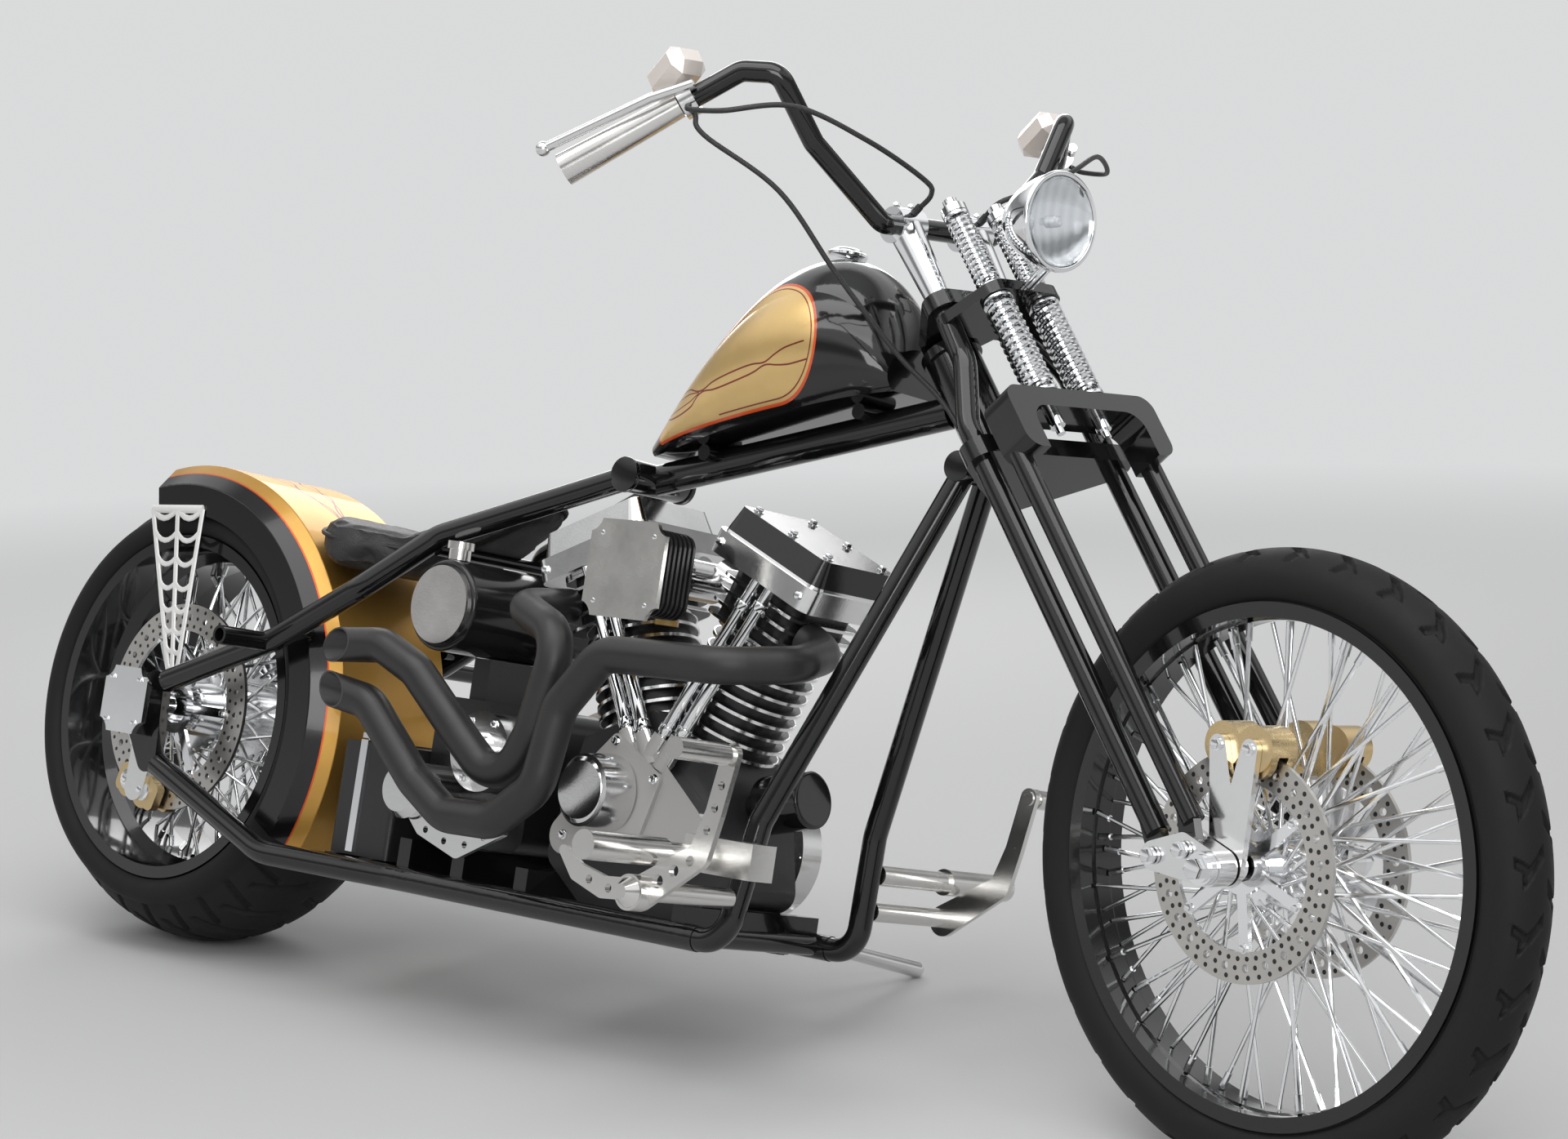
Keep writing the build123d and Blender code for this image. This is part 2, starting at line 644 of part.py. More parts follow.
air_cleaner_x = 903.0
air_cleaner_z = 577.0
air_cleaner_fins = 6
with BuildPart() as air_cleaner:
    with BuildSketch(side(-118 - seat_gap)) as core:
        with Locations((air_cleaner_x + 4, air_cleaner_z)):
            RectangleRounded(92, 88, 16)
    extrude(to_extrude=core.sketch, amount=56)
    for fin in range(air_cleaner_fins):
        with BuildSketch(side(-122 - seat_gap - fin * 8.4)) as ring:
            with Locations((air_cleaner_x + 4, air_cleaner_z)):
                RectangleRounded(112, 106, 20)
        extrude(to_extrude=ring.sketch, amount=4)
    with BuildSketch(side(-174 - seat_gap)) as face:
        with Locations((air_cleaner_x, air_cleaner_z)):
            RectangleRounded(124, 120, 5)
            with GridLocations(134, 130, 2, 2):
                Circle(22, mode=Mode.SUBTRACT)
    extrude(to_extrude=face.sketch, amount=6)
finish(air_cleaner, "air_cleaner")

# ------------------------------------------------------------------ primary drive and transmission
primary_inner = 146.0
primary_width = 46.0
with BuildPart() as primary_cover:
    with BuildSketch(side(primary_inner)) as case_outline:
        with Locations((crank_x, crank_z + 4)):
            Circle(88)
        with Locations((620, 300)):
            Circle(108)
        make_hull()
    extrude(to_extrude=case_outline.sketch, amount=-primary_width)
    chamfer(faces().sort_by(Axis.Y)[-1].edges(), 8)
    add_rod((crank_x, case_width / 2 + seat_gap, crank_z), (crank_x, primary_inner + 2, crank_z), 58)
finish(primary_cover, "primary_cover")

with BuildPart() as transmission:
    with BuildSketch(Plane.XZ):
        with Locations((590, 300)):
            Rectangle(190, 190)
        fillet(vertices(), 26)
    extrude(amount=62, both=True)
    with Locations((548, 0, (390 + 450 - seat_gap) / 2)):
        Box(30, 90, 60 - seat_gap)
    with Locations(Location((628, -84, 330), (90, 0, 0))):
        Cylinder(52, 44)
    add_rod((628, -84, 330), (628, -132, 330), 30, 26)
    add_rod((drive_sprocket_x, 60, drive_sprocket_z), (drive_sprocket_x, primary_inner - seat_gap, drive_sprocket_z),
            drive_sprocket_radius - seat_gap)
finish(transmission, "transmission")

with BuildPart() as kicker_cover:
    add_rod((548, -62 - seat_gap, 268), (548, -152, 268), 36)
    add_rod((548, -150, 268), (548, -160, 268), 38, 30)
    add_plate(side(-136), [(548, 262, 18), (578, 222, 9), (648, 207, 15)], 8)
    add_plate(side(-136), [(648, 207, 15), (722, 236, 7)], 8)
    for hole_x, hole_z in ((588.0, 221.0), (624.0, 211.0), (662.0, 211.0), (694.0, 224.0)):
        with Locations(Location((hole_x, -136, hole_z), (90, 0, 0))):
            Cylinder(4.5, 20, mode=Mode.SUBTRACT)
finish(kicker_cover, "kicker_cover")

with BuildPart() as oil_tank:
    with Locations(Location((548, 0, 510), (90, 0, 0))):
        Cylinder(60, 268)
    fillet(edges().filter_by(GeomType.CIRCLE), 6)
    with Locations(Location((548, 0, 510), (90, 0, 0))):
        Cylinder(51, 280)
    with Locations((540, -108, 576)):
        Cylinder(15, 20)
    with Locations((540, -108, 590)):
        Cylinder(18, 10)
finish(oil_tank, "oil_tank")

with BuildPart() as battery_box:
    with BuildSketch(Plane.XY.offset(battery_z)):
        with Locations((434, 0)):
            RectangleRounded(112, 220, 8)
    extrude(amount=150)
finish(battery_box, "battery_box")

strap_x = 420.0
strap_thickness = 2.5
with BuildPart() as battery_strap:
    strap_bottom = battery_z + 4
    strap_top = battery_z + 150 + seat_gap
    for strap_side in (-1, 1):
        with Locations((strap_x, strap_side * (110 + seat_gap + strap_thickness / 2), (strap_bottom + strap_top) / 2)):
            Box(13, strap_thickness, strap_top - strap_bottom)
    with Locations((strap_x, 0, strap_top + strap_thickness / 2)):
        Box(13, 2 * (110 + seat_gap + strap_thickness), strap_thickness)
    with Locations((strap_x, -100, strap_top + 8)):
        Cylinder(5, 16)
        Box(34, 3, 7)
finish(battery_strap, "battery_strap")

with BuildPart() as oil_filter:
    add_rod((1030, 0, 317), (1104, 0, 334), 36)
    fillet(edges().filter_by(GeomType.CIRCLE), 5)
    add_rod((1012.5, 0, 313), (1034, 0, 318), 17)
finish(oil_filter, "oil_filter")

# ------------------------------------------------------------------ exhaust
pipe_radius = 22.5
pipe_wall = 2.0
tip_cut = 23.0                 # degrees between a tip's slash cut and the pipe
front_port = cylinder_plane(cylinder_angle, port_distance)
port_run = front_port.x_dir
port_start = front_port.origin + port_run * (head_fin_half + seat_gap) + Vector(0, -36, 0)
exhaust_runs = [
    [(712, -67.5, 530), (716, -158, 520), (832, -196, 486), (806, -196, 365), (764, -192, 286),
     (690, -204, 348), (612, -220, 420), (550, -226, 446), (415, -236, 434)],
    [tuple(port_start), tuple(port_start + port_run * 40), (1158, -134, 488), (1110, -210, 474), (925, -215, 471),
     (868, -218, 400), (854, -222, 300), (790, -224, 250), (706, -224, 248), (640, -222, 284),
     (545, -230, 372), (412, -240, 390)]]
with BuildPart() as exhausts:
    for run in exhaust_runs:
        add_tube(run, 45, pipe_radius)
    for run in exhaust_runs:
        tip = Vector(*run[-1])
        back = (Vector(*run[-2]) - tip).normalized()
        with Locations(Plane(origin=tip, z_dir=back).location):
            Cylinder(pipe_radius - pipe_wall, 220, mode=Mode.SUBTRACT)
        cut_run = (sin(radians(tip_cut)), cos(radians(tip_cut)), 0)
        slash = Plane(origin=tip + back * 53, z_dir=(-cut_run[0], -cut_run[1], 0))
        with BuildSketch(slash) as cut_face:
            Rectangle(140, 220)
        extrude(to_extrude=cut_face.sketch, amount=70, mode=Mode.SUBTRACT)
finish(exhausts, "exhausts")

# ------------------------------------------------------------------ tank, seat and fender
with BuildPart() as fuel_tank:
    for x, bottom, top, half in tank_sections:
        rise = top - bottom
        with BuildSketch(Plane.YZ.offset(x)):
            with BuildLine():
                Line((-half * 0.7, bottom), (half * 0.7, bottom))
                ThreePointArc((half * 0.7, bottom), (half, bottom + rise * 0.36), (half * 0.78, bottom + rise * 0.72))
                ThreePointArc((half * 0.78, bottom + rise * 0.72), (0, top), (-half * 0.78, bottom + rise * 0.72))
                ThreePointArc((-half * 0.78, bottom + rise * 0.72), (-half, bottom + rise * 0.36), (-half * 0.7, bottom))
            make_face()
    loft()
finish(fuel_tank, "fuel_tank")

with BuildPart() as fuel_cap:
    with Locations((1030, 0, 998 + seat_gap + 8)):
        Cylinder(26, 16)
finish(fuel_cap, "fuel_cap")

with BuildPart() as seat:
    with BuildSketch(Plane.XY.offset(545)):
        with Locations((300, 0)):
            Ellipse(80, 120)
        with Locations((560, 0)):
            Circle(42)
        make_hull()
    extrude(amount=130)
    with BuildSketch(Plane.XZ):
        with BuildLine():
            Polyline((218, 598), (236, 592), (262, 566), (300, 549), (410, 549), (478, 593.3), (498, 593.3),
                     (606, 652), (606, 676), (590, 680), (480, 632), (400, 600), (300, 606), (230, 622), (218, 598))
        make_face()
    extrude(amount=200, both=True, mode=Mode.INTERSECT)
finish(seat, "seat")

with BuildPart() as rear_fender:
    start_dir = Vector(cos(radians(fender_from)), 0, sin(radians(fender_from)))
    with BuildSketch(Plane(origin=(0, 0, rear_tyre_radius), x_dir=(0, 1, 0), z_dir=Vector(0, 1, 0).cross(start_dir))):
        with BuildLine():
            Polyline((-fender_half, fender_skirt), (-fender_half, fender_inner - 30), (-fender_half + 30, fender_inner),
                     (fender_half - 30, fender_inner), (fender_half, fender_inner - 30), (fender_half, fender_skirt))
            offset(amount=fender_skin, side=Side.LEFT)
        make_face()
    revolve(axis=Axis((0, 0, rear_tyre_radius), (0, -1, 0)), revolution_arc=fender_to - fender_from)
finish(rear_fender, "rear_fender")

strut_y = fender_half + fender_skin + seat_gap
with BuildPart() as fender_strut:
    add_plate(side(-strut_y - 2), [(-80, rear_tyre_radius + 272, 8), (34, rear_tyre_radius + 278, 8),
                                   (28, rear_tyre_radius + 38, 12), (16, rear_tyre_radius + 44, 10)], 4)
    add_rod((26, -strut_y, upper_lug[1] + 4), (26, -(stay_y - axle_plate_thickness / 2 - seat_gap), upper_lug[1] + 4), 9)
finish(fender_strut, "fender_strut")

# ------------------------------------------------------------------ rear brake caliper
caliper_drop = 120.0
bracket_y = rear_disc_at - 20 - seat_gap - 4
with BuildPart() as rear_caliper:
    for lobe_x, lobe_z in ((-58, 8), (-22, -4)):
        with Locations(Location((lobe_x, rear_disc_at, rear_tyre_radius - caliper_drop + lobe_z), (90, 0, 0))):
            Cylinder(25, 40)
    with BuildSketch(side(rear_disc_at)) as outline:
        with Locations(Location((-38, rear_tyre_radius - caliper_drop, 0), (0, 0, -18))):
            RectangleRounded(92, 40, 10)
    extrude(to_extrude=outline.sketch, amount=20, both=True)
    with Locations(Location((0, rear_disc_at, rear_tyre_radius), (90, 0, 0))):
        Cylinder(rear_disc_radius + 5, disc_thickness + 10, mode=Mode.SUBTRACT)
finish(rear_caliper, "rear_caliper")

with BuildPart() as rear_caliper_bracket:
    add_plate(side(bracket_y), [(-20, rear_tyre_radius, 30), (-34, rear_tyre_radius - caliper_drop, 20)], 8)
    with Locations(Location((0, bracket_y, rear_tyre_radius), (90, 0, 0))):
        Cylinder(19 + seat_gap, 12, mode=Mode.SUBTRACT)
finish(rear_caliper_bracket, "rear_caliper_bracket")

# ------------------------------------------------------------------ forward controls
control_x = 1113.0
control_z = 252.0
control_start = 132.2          # outer side of the downtubes where the controls bolt on
peg_start = 268.0
peg_end = 400.0
peg_radius = 17.0
arm_y = 288.0
arm_points = [(1108.0, 203.0, 20.0), (1188.0, 256.0, 15.0), (1202.0, 306.0, 12.0), (1214.0, 374.0, 12.0)]
heel_points = [(1100.0, 206.0, 13.0), (1050.0, 202.0, 13.0), (1006.0, 214.0, 11.0), (980.0, 236.0, 6.0)]
with BuildPart() as forward_controls:
    for control_side in (-1, 1):
        add_rod((control_x, control_side * control_start, control_z),
                (control_x, control_side * peg_start, control_z), 13)
        add_rod((control_x, control_side * peg_start, control_z), (control_x, control_side * peg_end, control_z),
                peg_radius)
        add_rod((1108, control_side * 136.2, 206), (1108, control_side * (arm_y + 26), 206), 12)
        for first, second in zip(arm_points, arm_points[1:]):
            add_plate(side(control_side * arm_y), [first, second], 8)
        add_rod((1213, control_side * (arm_y - 6), 373), (1213, control_side * 384, 373), 9.5)
        add_rod((1213, control_side * (arm_y + 12), 373), (1213, control_side * 384, 373), 12.5)
    # The right-hand side's heel plate, acorn end and brake cylinder.
    for first, second in zip(heel_points, heel_points[1:]):
        add_plate(side(-arm_y), [first, second], 8)
    add_rod((1108, -arm_y, 203), (1108, -arm_y - 22, 203), 21)
    add_rod((1108, -arm_y - 22, 203), (1108, -arm_y - 36, 203), 18, 9)
    with Locations((1158, -204, 256)):
        Box(104, 42, 42)
    for hole_x, hole_z, hole_radius in ((1134, 220, 8), (1156, 235, 7), (1178, 249, 6), (1196, 286, 5), (1203, 312, 5),
                                        (1208, 338, 5), (1060, 202, 5), (1028, 208, 5)):
        with Locations(Location((hole_x, -arm_y, hole_z), (90, 0, 0))):
            Cylinder(hole_radius, 20, mode=Mode.SUBTRACT)
finish(forward_controls, "forward_controls")

# ------------------------------------------------------------------ fork
with BuildPart() as fork_rear_legs:
    for leg_side in (-1, 1):
        add_tube([(rear_leg_u, leg_side * leg_y, rocker_pivot[1] + 22), (rear_leg_u, leg_side * leg_y, 610),
                  (80, leg_side * 84, 690), (riser_u, leg_side * riser_y, 786)], 60, rear_leg_radius)
        add_plate(side(leg_side * leg_y), [(rocker_pivot[0], rocker_pivot[1], 13),
                                           (rear_leg_u, rocker_pivot[1] + 40, 13)], lug_thickness)
    for tree_at, depth, ends in ((572, 24, (rear_leg_u, leg_y)), (790, 20, (riser_u, riser_y))):
        add_plate(Plane.XY.offset(tree_at), [(0, 0, 30), (ends[0], ends[1], 22), (ends[0], -ends[1], 22)], depth)
    add_plate(Plane.XY.offset((perch_bottom + perch_top) / 2),
              [(74, riser_y + 6, 18), (74, -riser_y - 6, 18), (spring_u, spring_y, 22), (spring_u, -spring_y, 22)],
              perch_top - perch_bottom)
    with Locations((0, 0, 572)):
        Cylinder(stem_radius, 228, align=(Align.CENTER, Align.CENTER, Align.MIN))
    with Locations((spring_u, spring_y, 760), (spring_u, -spring_y, 760)):
        Cylinder(spring_rod_radius + seat_gap, 60, mode=Mode.SUBTRACT)
    for leg_side in (-1, 1):
        with Locations(Location((rocker_pivot[0], leg_side * leg_y, rocker_pivot[1]), (90, 0, 0))):
            Cylinder(6 + seat_gap, 40, mode=Mode.SUBTRACT)
finish(fork_rear_legs, "fork_rear_legs", fork_pose)

with BuildPart() as fork_front_legs:
    for leg_side in (-1, 1):
        add_rod((front_leg_u, leg_side * leg_y, rocker_pin[1] + 24), (front_leg_u, leg_side * leg_y, crown_bottom + 8),
                front_leg_radius)
        add_plate(side(leg_side * leg_y), [(rocker_pin[0], rocker_pin[1], 12),
                                           (front_leg_u, rocker_pin[1] + 40, 11)], lug_thickness)
    crown_face = Plane(origin=(crown_u, 0, 0), x_dir=(0, 1, 0), z_dir=(1, 0, 0))
    with BuildSketch(crown_face):
        with Locations((0, (crown_bottom - 60 + crown_top) / 2)):
            RectangleRounded(2 * leg_y + 28, crown_top - crown_bottom + 60, 20)
        with Locations((0, crown_bottom - 62)):
            RectangleRounded(2 * leg_y - 34, 124, 24, mode=Mode.SUBTRACT)
    extrude(amount=crown_depth / 2, both=True)
    with Locations((spring_u, spring_y, crown_top), (spring_u, -spring_y, crown_top)):
        Cylinder(spring_rod_radius + seat_gap, 120, mode=Mode.SUBTRACT)
    for leg_side in (-1, 1):
        with Locations(Location((rocker_pin[0], leg_side * leg_y, rocker_pin[1]), (90, 0, 0))):
            Cylinder(6 + seat_gap, 40, mode=Mode.SUBTRACT)
finish(fork_front_legs, "fork_front_legs", fork_pose)

with BuildPart() as fork_springs:
    for spring_side in (-1, 1):
        for low, high, radius in ((crown_top, perch_bottom, lower_spring_radius),
                                  (perch_top, spring_cap_top - 10, upper_spring_radius)):
            with Locations((spring_u, spring_side * spring_y, low + seat_gap)):
                Cylinder(radius, high - low - 2 * seat_gap, align=(Align.CENTER, Align.CENTER, Align.MIN))
                Cylinder(spring_rod_radius + seat_gap, high - low, align=(Align.CENTER, Align.CENTER, Align.MIN),
                         mode=Mode.SUBTRACT)
finish(fork_springs, "fork_springs", fork_pose)

with BuildPart() as spring_rods:
    for rod_side in (-1, 1):
        with Locations((spring_u, rod_side * spring_y, crown_bottom - 26)):
            Cylinder(spring_rod_radius, spring_cap_top - crown_bottom + 26, align=(Align.CENTER, Align.CENTER, Align.MIN))
        with Locations((spring_u, rod_side * spring_y, crown_bottom - 16)):
            Cylinder(9, 16 - seat_gap, align=(Align.CENTER, Align.CENTER, Align.MIN))
        with Locations((spring_u, rod_side * spring_y, spring_cap_top - 10)):
            Cylinder(upper_spring_radius, 10, align=(Align.CENTER, Align.CENTER, Align.MIN))
            Cylinder(9, 22, align=(Align.CENTER, Align.CENTER, Align.MIN))
finish(spring_rods, "spring_rods", fork_pose)

with BuildPart() as fork_rockers:
    for rocker_side in (-1, 1):
        middle = rocker_side * leg_y
        add_plate(side(middle), [(rocker_pivot[0], rocker_pivot[1], 16), (rocker_pin[0], rocker_pin[1] + 4, 15),
                                 (fork_offset, 0, 20)], rocker_width)
        add_plate(side(middle), [(rocker_pivot[0], rocker_pivot[1], 19), (rocker_pivot[0] - 30, rocker_pivot[1] + 60, 19),
                                 (rocker_pin[0] + 30, rocker_pin[1] + 60, 19), (rocker_pin[0], rocker_pin[1], 17)],
                  lug_thickness + 2 * seat_gap, mode=Mode.SUBTRACT)
        for pivot_u, pivot_s in (rocker_pivot, rocker_pin):
            with Locations(Location((pivot_u, middle, pivot_s), (90, 0, 0))):
                Cylinder(6, rocker_width + 12)
                Cylinder(10, rocker_width + 4)
                Cylinder(10, lug_thickness + 2 * seat_gap, mode=Mode.SUBTRACT)
                Cylinder(6, lug_thickness + 2 * seat_gap)
        with Locations(Location((fork_offset, middle, 0), (90, 0, 0))):
            Cylinder(front_axle_radius + fit, rocker_width + 4, mode=Mode.SUBTRACT)
finish(fork_rockers, "fork_rockers", fork_pose)

with BuildPart() as front_axle:
    axle_half = leg_y + rocker_width / 2 + 6
    with Locations(Location((fork_offset, 0, 0), (90, 0, 0))):
        Cylinder(front_axle_radius, 2 * axle_half)
    for end_side in (-1, 1):
        spacer_out = leg_y - rocker_width / 2 - seat_gap
        spacer_in = front_disc_at + 8
        with Locations(Location((fork_offset, end_side * (spacer_in + spacer_out) / 2, 0), (90, 0, 0))):
            Cylinder(15, spacer_out - spacer_in)
        with Locations(Location((fork_offset, end_side * (leg_y + rocker_width / 2 + seat_gap + 5), 0), (90, 0, 0))):
            Cylinder(18, 10)
finish(front_axle, "front_axle", fork_pose)

caliper_lobes = ((172.0, 114.0, 25.0), (206.0, 86.0, 25.0))
with BuildPart() as front_calipers:
    for caliper_side in (-1, 1):
        caliper_y = caliper_side * front_disc_at
        add_plate(side(caliper_y), [(lobe_u - 6, lobe_s - 8, 22) for lobe_u, lobe_s, _ in caliper_lobes], 34)
        for lobe_u, lobe_s, lobe_radius in caliper_lobes:
            with Locations(Location((lobe_u, caliper_y, lobe_s), (90, 0, 0))):
                Cylinder(lobe_radius, 40)
        with Locations(Location((fork_offset, caliper_y, 0), (90, 0, 0))):
            Cylinder(front_disc_radius + 5, disc_thickness + 10, mode=Mode.SUBTRACT)
finish(front_calipers, "front_calipers", fork_pose)

with BuildPart() as caliper_brackets:
    for caliper_side in (-1, 1):
        bracket_at = side(caliper_side * (front_disc_at + 20 + seat_gap + 4))
        add_plate(bracket_at, [(fork_offset, 0, 22), (caliper_lobes[0][0], caliper_lobes[0][1], 11)], 8)
        add_plate(bracket_at, [(fork_offset, 0, 22), (caliper_lobes[1][0], caliper_lobes[1][1], 11)], 8)
        with Locations(Location((fork_offset, caliper_side * (front_disc_at + 20 + seat_gap + 4), 0), (90, 0, 0))):
            Cylinder(15 + seat_gap, 10, mode=Mode.SUBTRACT)
finish(caliper_brackets, "caliper_brackets", fork_pose)

with BuildPart() as risers:
    for riser_side in (-1, 1):
        add_rod((riser_u, riser_side * riser_y, 800 + seat_gap), (riser_u, riser_side * riser_y, bar_s - 8), 15, 21)
        with Locations(Location((riser_u, riser_side * riser_y, bar_s), (90, 0, 0))):
            Cylinder(22, 40)
            Cylinder(bar_radius + fit, 60, mode=Mode.SUBTRACT)
finish(risers, "risers", fork_pose)

grip_corner = Vector(70.0, 294.0, 1078.0)
grip_end = Vector(-89.0, 400.0, 1076.0)
grip_run = (grip_end - grip_corner).normalized()
grip_foot = grip_corner + grip_run * 34
bar_half = [(riser_u, 0, bar_s), (riser_u, 90, bar_s), (100, 190, 990), (136, 238, 1058), (110, 267, 1079),
            tuple(grip_corner), tuple(grip_foot)]
with BuildPart() as handlebar:
    add_tube(bar_half, 22, bar_radius)
    add_tube(mirrored_y(bar_half), 22, bar_radius)
finish(handlebar, "handlebar", fork_pose)

with BuildPart() as grips:
    grip_start = grip_foot + grip_run * seat_gap
    for points in ([tuple(grip_start), tuple(grip_end)], mirrored_y([tuple(grip_start), tuple(grip_end)])):
        add_rod(points[0], points[1], 15, 20)
finish(grips, "grips", fork_pose)

clamp_start = grip_corner + grip_run * 14
clamp_end = grip_corner + grip_run * 32
lever_points = [(clamp_start.X + 18, clamp_start.Y + 14, 1080.0), (34.0, 346.0, 1090.0), (-92.0, 416.0, 1108.0)]
with BuildPart() as hand_controls:
    for flip in (list, mirrored_y):
        clamp = flip([tuple(clamp_start), tuple(clamp_end)])
        clamp_run = Vector(*clamp[1]) - Vector(*clamp[0])
        with BuildSketch(Plane(origin=clamp[0], z_dir=clamp_run)) as ring:
            Circle(21)
            Circle(bar_radius + fit, mode=Mode.SUBTRACT)
        extrude(to_extrude=ring.sketch, amount=clamp_run.length)
        lever = flip(lever_points)
        add_tube(lever, 30, 6)
        add_ball(lever[2], Vector(*lever[2]) - Vector(*lever[1]), 9)
finish(hand_controls, "hand_controls", fork_pose)

clamp_middle = (clamp_start + clamp_end) * 0.5
with BuildPart() as reservoirs:
    for reservoir_side in (-1, 1):
        with Locations((clamp_middle.X, reservoir_side * clamp_middle.Y, clamp_middle.Z + 21 + seat_gap + 21)):
            reservoir = Box(66, 52, 42)
    chamfer(edges(), 12)
finish(reservoirs, "reservoirs", fork_pose)

cable_radius = 3.2
cable_out = 21 + seat_gap + 0.2
lower_tree_top = 584.0


def square_to_grip(x, y, z):
    """Unit vector nearest to a direction, square to the right-hand grip."""
    run = Vector(grip_run.X, -grip_run.Y, grip_run.Z)
    wanted = Vector(x, y, z)
    return (wanted - run * wanted.dot(run)).normalized()


right_clamp = Vector(clamp_middle.X, -clamp_middle.Y, clamp_middle.Z)
hose_run = square_to_grip(0.3, 0.2, -1.0)
hose_start = right_clamp + hose_run * cable_out
cable_run = square_to_grip(0.8, -0.1, -0.6)
cable_start = right_clamp + cable_run * cable_out
cable_points = [tuple(cable_start), tuple(cable_start + cable_run * 40), (152, -236, 1000), (156, -170, 950),
                (140, -84, 918), (120, -riser_y, bar_s + 2), (riser_u + 22 + seat_gap, -riser_y, bar_s + 2)]
with BuildPart() as cables:
    # The front brake's hose, from the right-hand clamp down to the lower tree.
    add_tube([tuple(hose_start), tuple(hose_start + hose_run * 44), (60, -236, 943), (36, -175, 846), (10, -104, 756),
              (6, -64, 700), (10, -58, 650), (10, -58, lower_tree_top + seat_gap)], 20, cable_radius)
    # The throttle and clutch cables arc ahead of the bar and end at the risers.
    add_tube(cable_points, 16, cable_radius)
    add_tube(mirrored_y(cable_points), 16, cable_radius)
finish(cables, "cables", fork_pose)

with BuildPart() as headlamp_shell:
    lamp_axis = Vector(cos(radians(rake)), 0, -sin(radians(rake)))
    lamp_plane = Plane(origin=(headlamp_at[0], 0, headlamp_at[1]), x_dir=(0, 1, 0), z_dir=lamp_axis)
    with BuildSketch(lamp_plane.offset(-headlamp_length)) as back:
        Circle(18)
    with BuildSketch(lamp_plane.offset(-headlamp_length * 0.6)) as middle_section:
        Circle(44)
    with BuildSketch(lamp_plane.offset(-6)) as front:
        Circle(headlamp_radius)
    loft(sections=[back.sketch, middle_section.sketch, front.sketch])
    with BuildSketch(lamp_plane.offset(-16)) as cup:
        Circle(headlamp_radius - 5)
    extrude(to_extrude=cup.sketch, amount=20, mode=Mode.SUBTRACT)
    add_rod((spring_u + 22.4, 0, 759), (spring_u + 56, 0, 759), 6.5)
finish(headlamp_shell, "headlamp_shell", fork_pose)

with BuildPart() as headlamp_lens:
    with BuildSketch(lamp_plane.offset(-16 + seat_gap)) as glass:
        Circle(headlamp_radius - 5 - seat_gap)
    extrude(to_extrude=glass.sketch, amount=14)
finish(headlamp_lens, "headlamp_lens", fork_pose)

# ------------------------------------------------------------------ side stand
ground_normal = (parked_pose.inverse() * Location((0, 0, 1))).position - parked_pose.inverse().position
ground_point = parked_pose.inverse().position
foot_flat = Vector(stand_foot_x, stand_foot_y, 0)
foot_z = (stand_foot_radius - (foot_flat - ground_point).dot(ground_normal)) / ground_normal.Z
with BuildPart() as side_stand:
    stand_foot = Vector(stand_foot_x, stand_foot_y, foot_z)
    outward = Vector(stand_foot_x - stand_pivot[0], stand_foot_y - stand_pivot[1], 0).normalized()
    blade_start = Vector(*stand_pivot) + outward * 12
    blade_knee = Vector(*stand_pivot) + outward * 44
    add_rod(tuple(blade_start), tuple(blade_knee), 9)
    add_rod(tuple(blade_knee), tuple(stand_foot), 9, stand_foot_radius)
    add_ball(tuple(blade_knee), outward, 10.5)
    add_ball(tuple(stand_foot), stand_foot - blade_knee, stand_foot_radius)
    with Locations(stand_pivot):
        Cylinder(17, 22)
        Cylinder(8 + fit, 60, mode=Mode.SUBTRACT)
finish(side_stand, "side_stand")

stand_eye = 22.0                # height of the stand's eye, between the bracket's ears
ear_thickness = 8.0
with BuildPart() as stand_bracket:
    for ear_side in (-1, 1):
        ear_z = stand_pivot[2] + ear_side * (stand_eye / 2 + 0.5 + ear_thickness / 2)
        add_plate(Plane.XY.offset(ear_z), [(stand_pivot[0], stand_pivot[1], 13),
                                           (stand_pivot[0] - 8, rail_y + stay_radius + 11, 10),
                                           (stand_pivot[0] + 8, rail_y + stay_radius + 11, 10)], ear_thickness)
    with Locations((stand_pivot[0], rail_y + stay_radius + 3.3, stand_pivot[2])):
        Box(36, 6, stand_eye + 2 * ear_thickness)
    with Locations(stand_pivot):
        Cylinder(8, stand_eye + 20)
finish(stand_bracket, "stand_bracket")

# ------------------------------------------------------------------ write the parts
boxes = [piece.bounding_box() for piece in finished]
low_x = min(box.min.X for box in boxes)
high_x = max(box.max.X for box in boxes)
low_y = min(box.min.Y for box in boxes)
high_y = max(box.max.Y for box in boxes)
centre_shift = Location((-(low_x + high_x) / 2, -(low_y + high_y) / 2, 0))
for piece in finished:
    export_step(piece.moved(centre_shift), "parts/" + piece.label + ".step")

print("size", high_x - low_x, high_y - low_y, "lowest", min(box.min.Z for box in boxes), "pitch", pitch)
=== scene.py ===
# %% [markdown]
# # A long, low chopper, dressed for its portrait
# The machine is already built as solid parts, so this file adds what a solid model leaves out: paint, chrome,
# rubber, leather, tread and trim. It starts by loading those solids, which are never moved or reshaped here.

# %% Load the solid parts
import bpy
import bmesh
import json
from math import radians, cos, sin, pi, sqrt, atan2, acos, hypot
from mathutils import Matrix, Vector


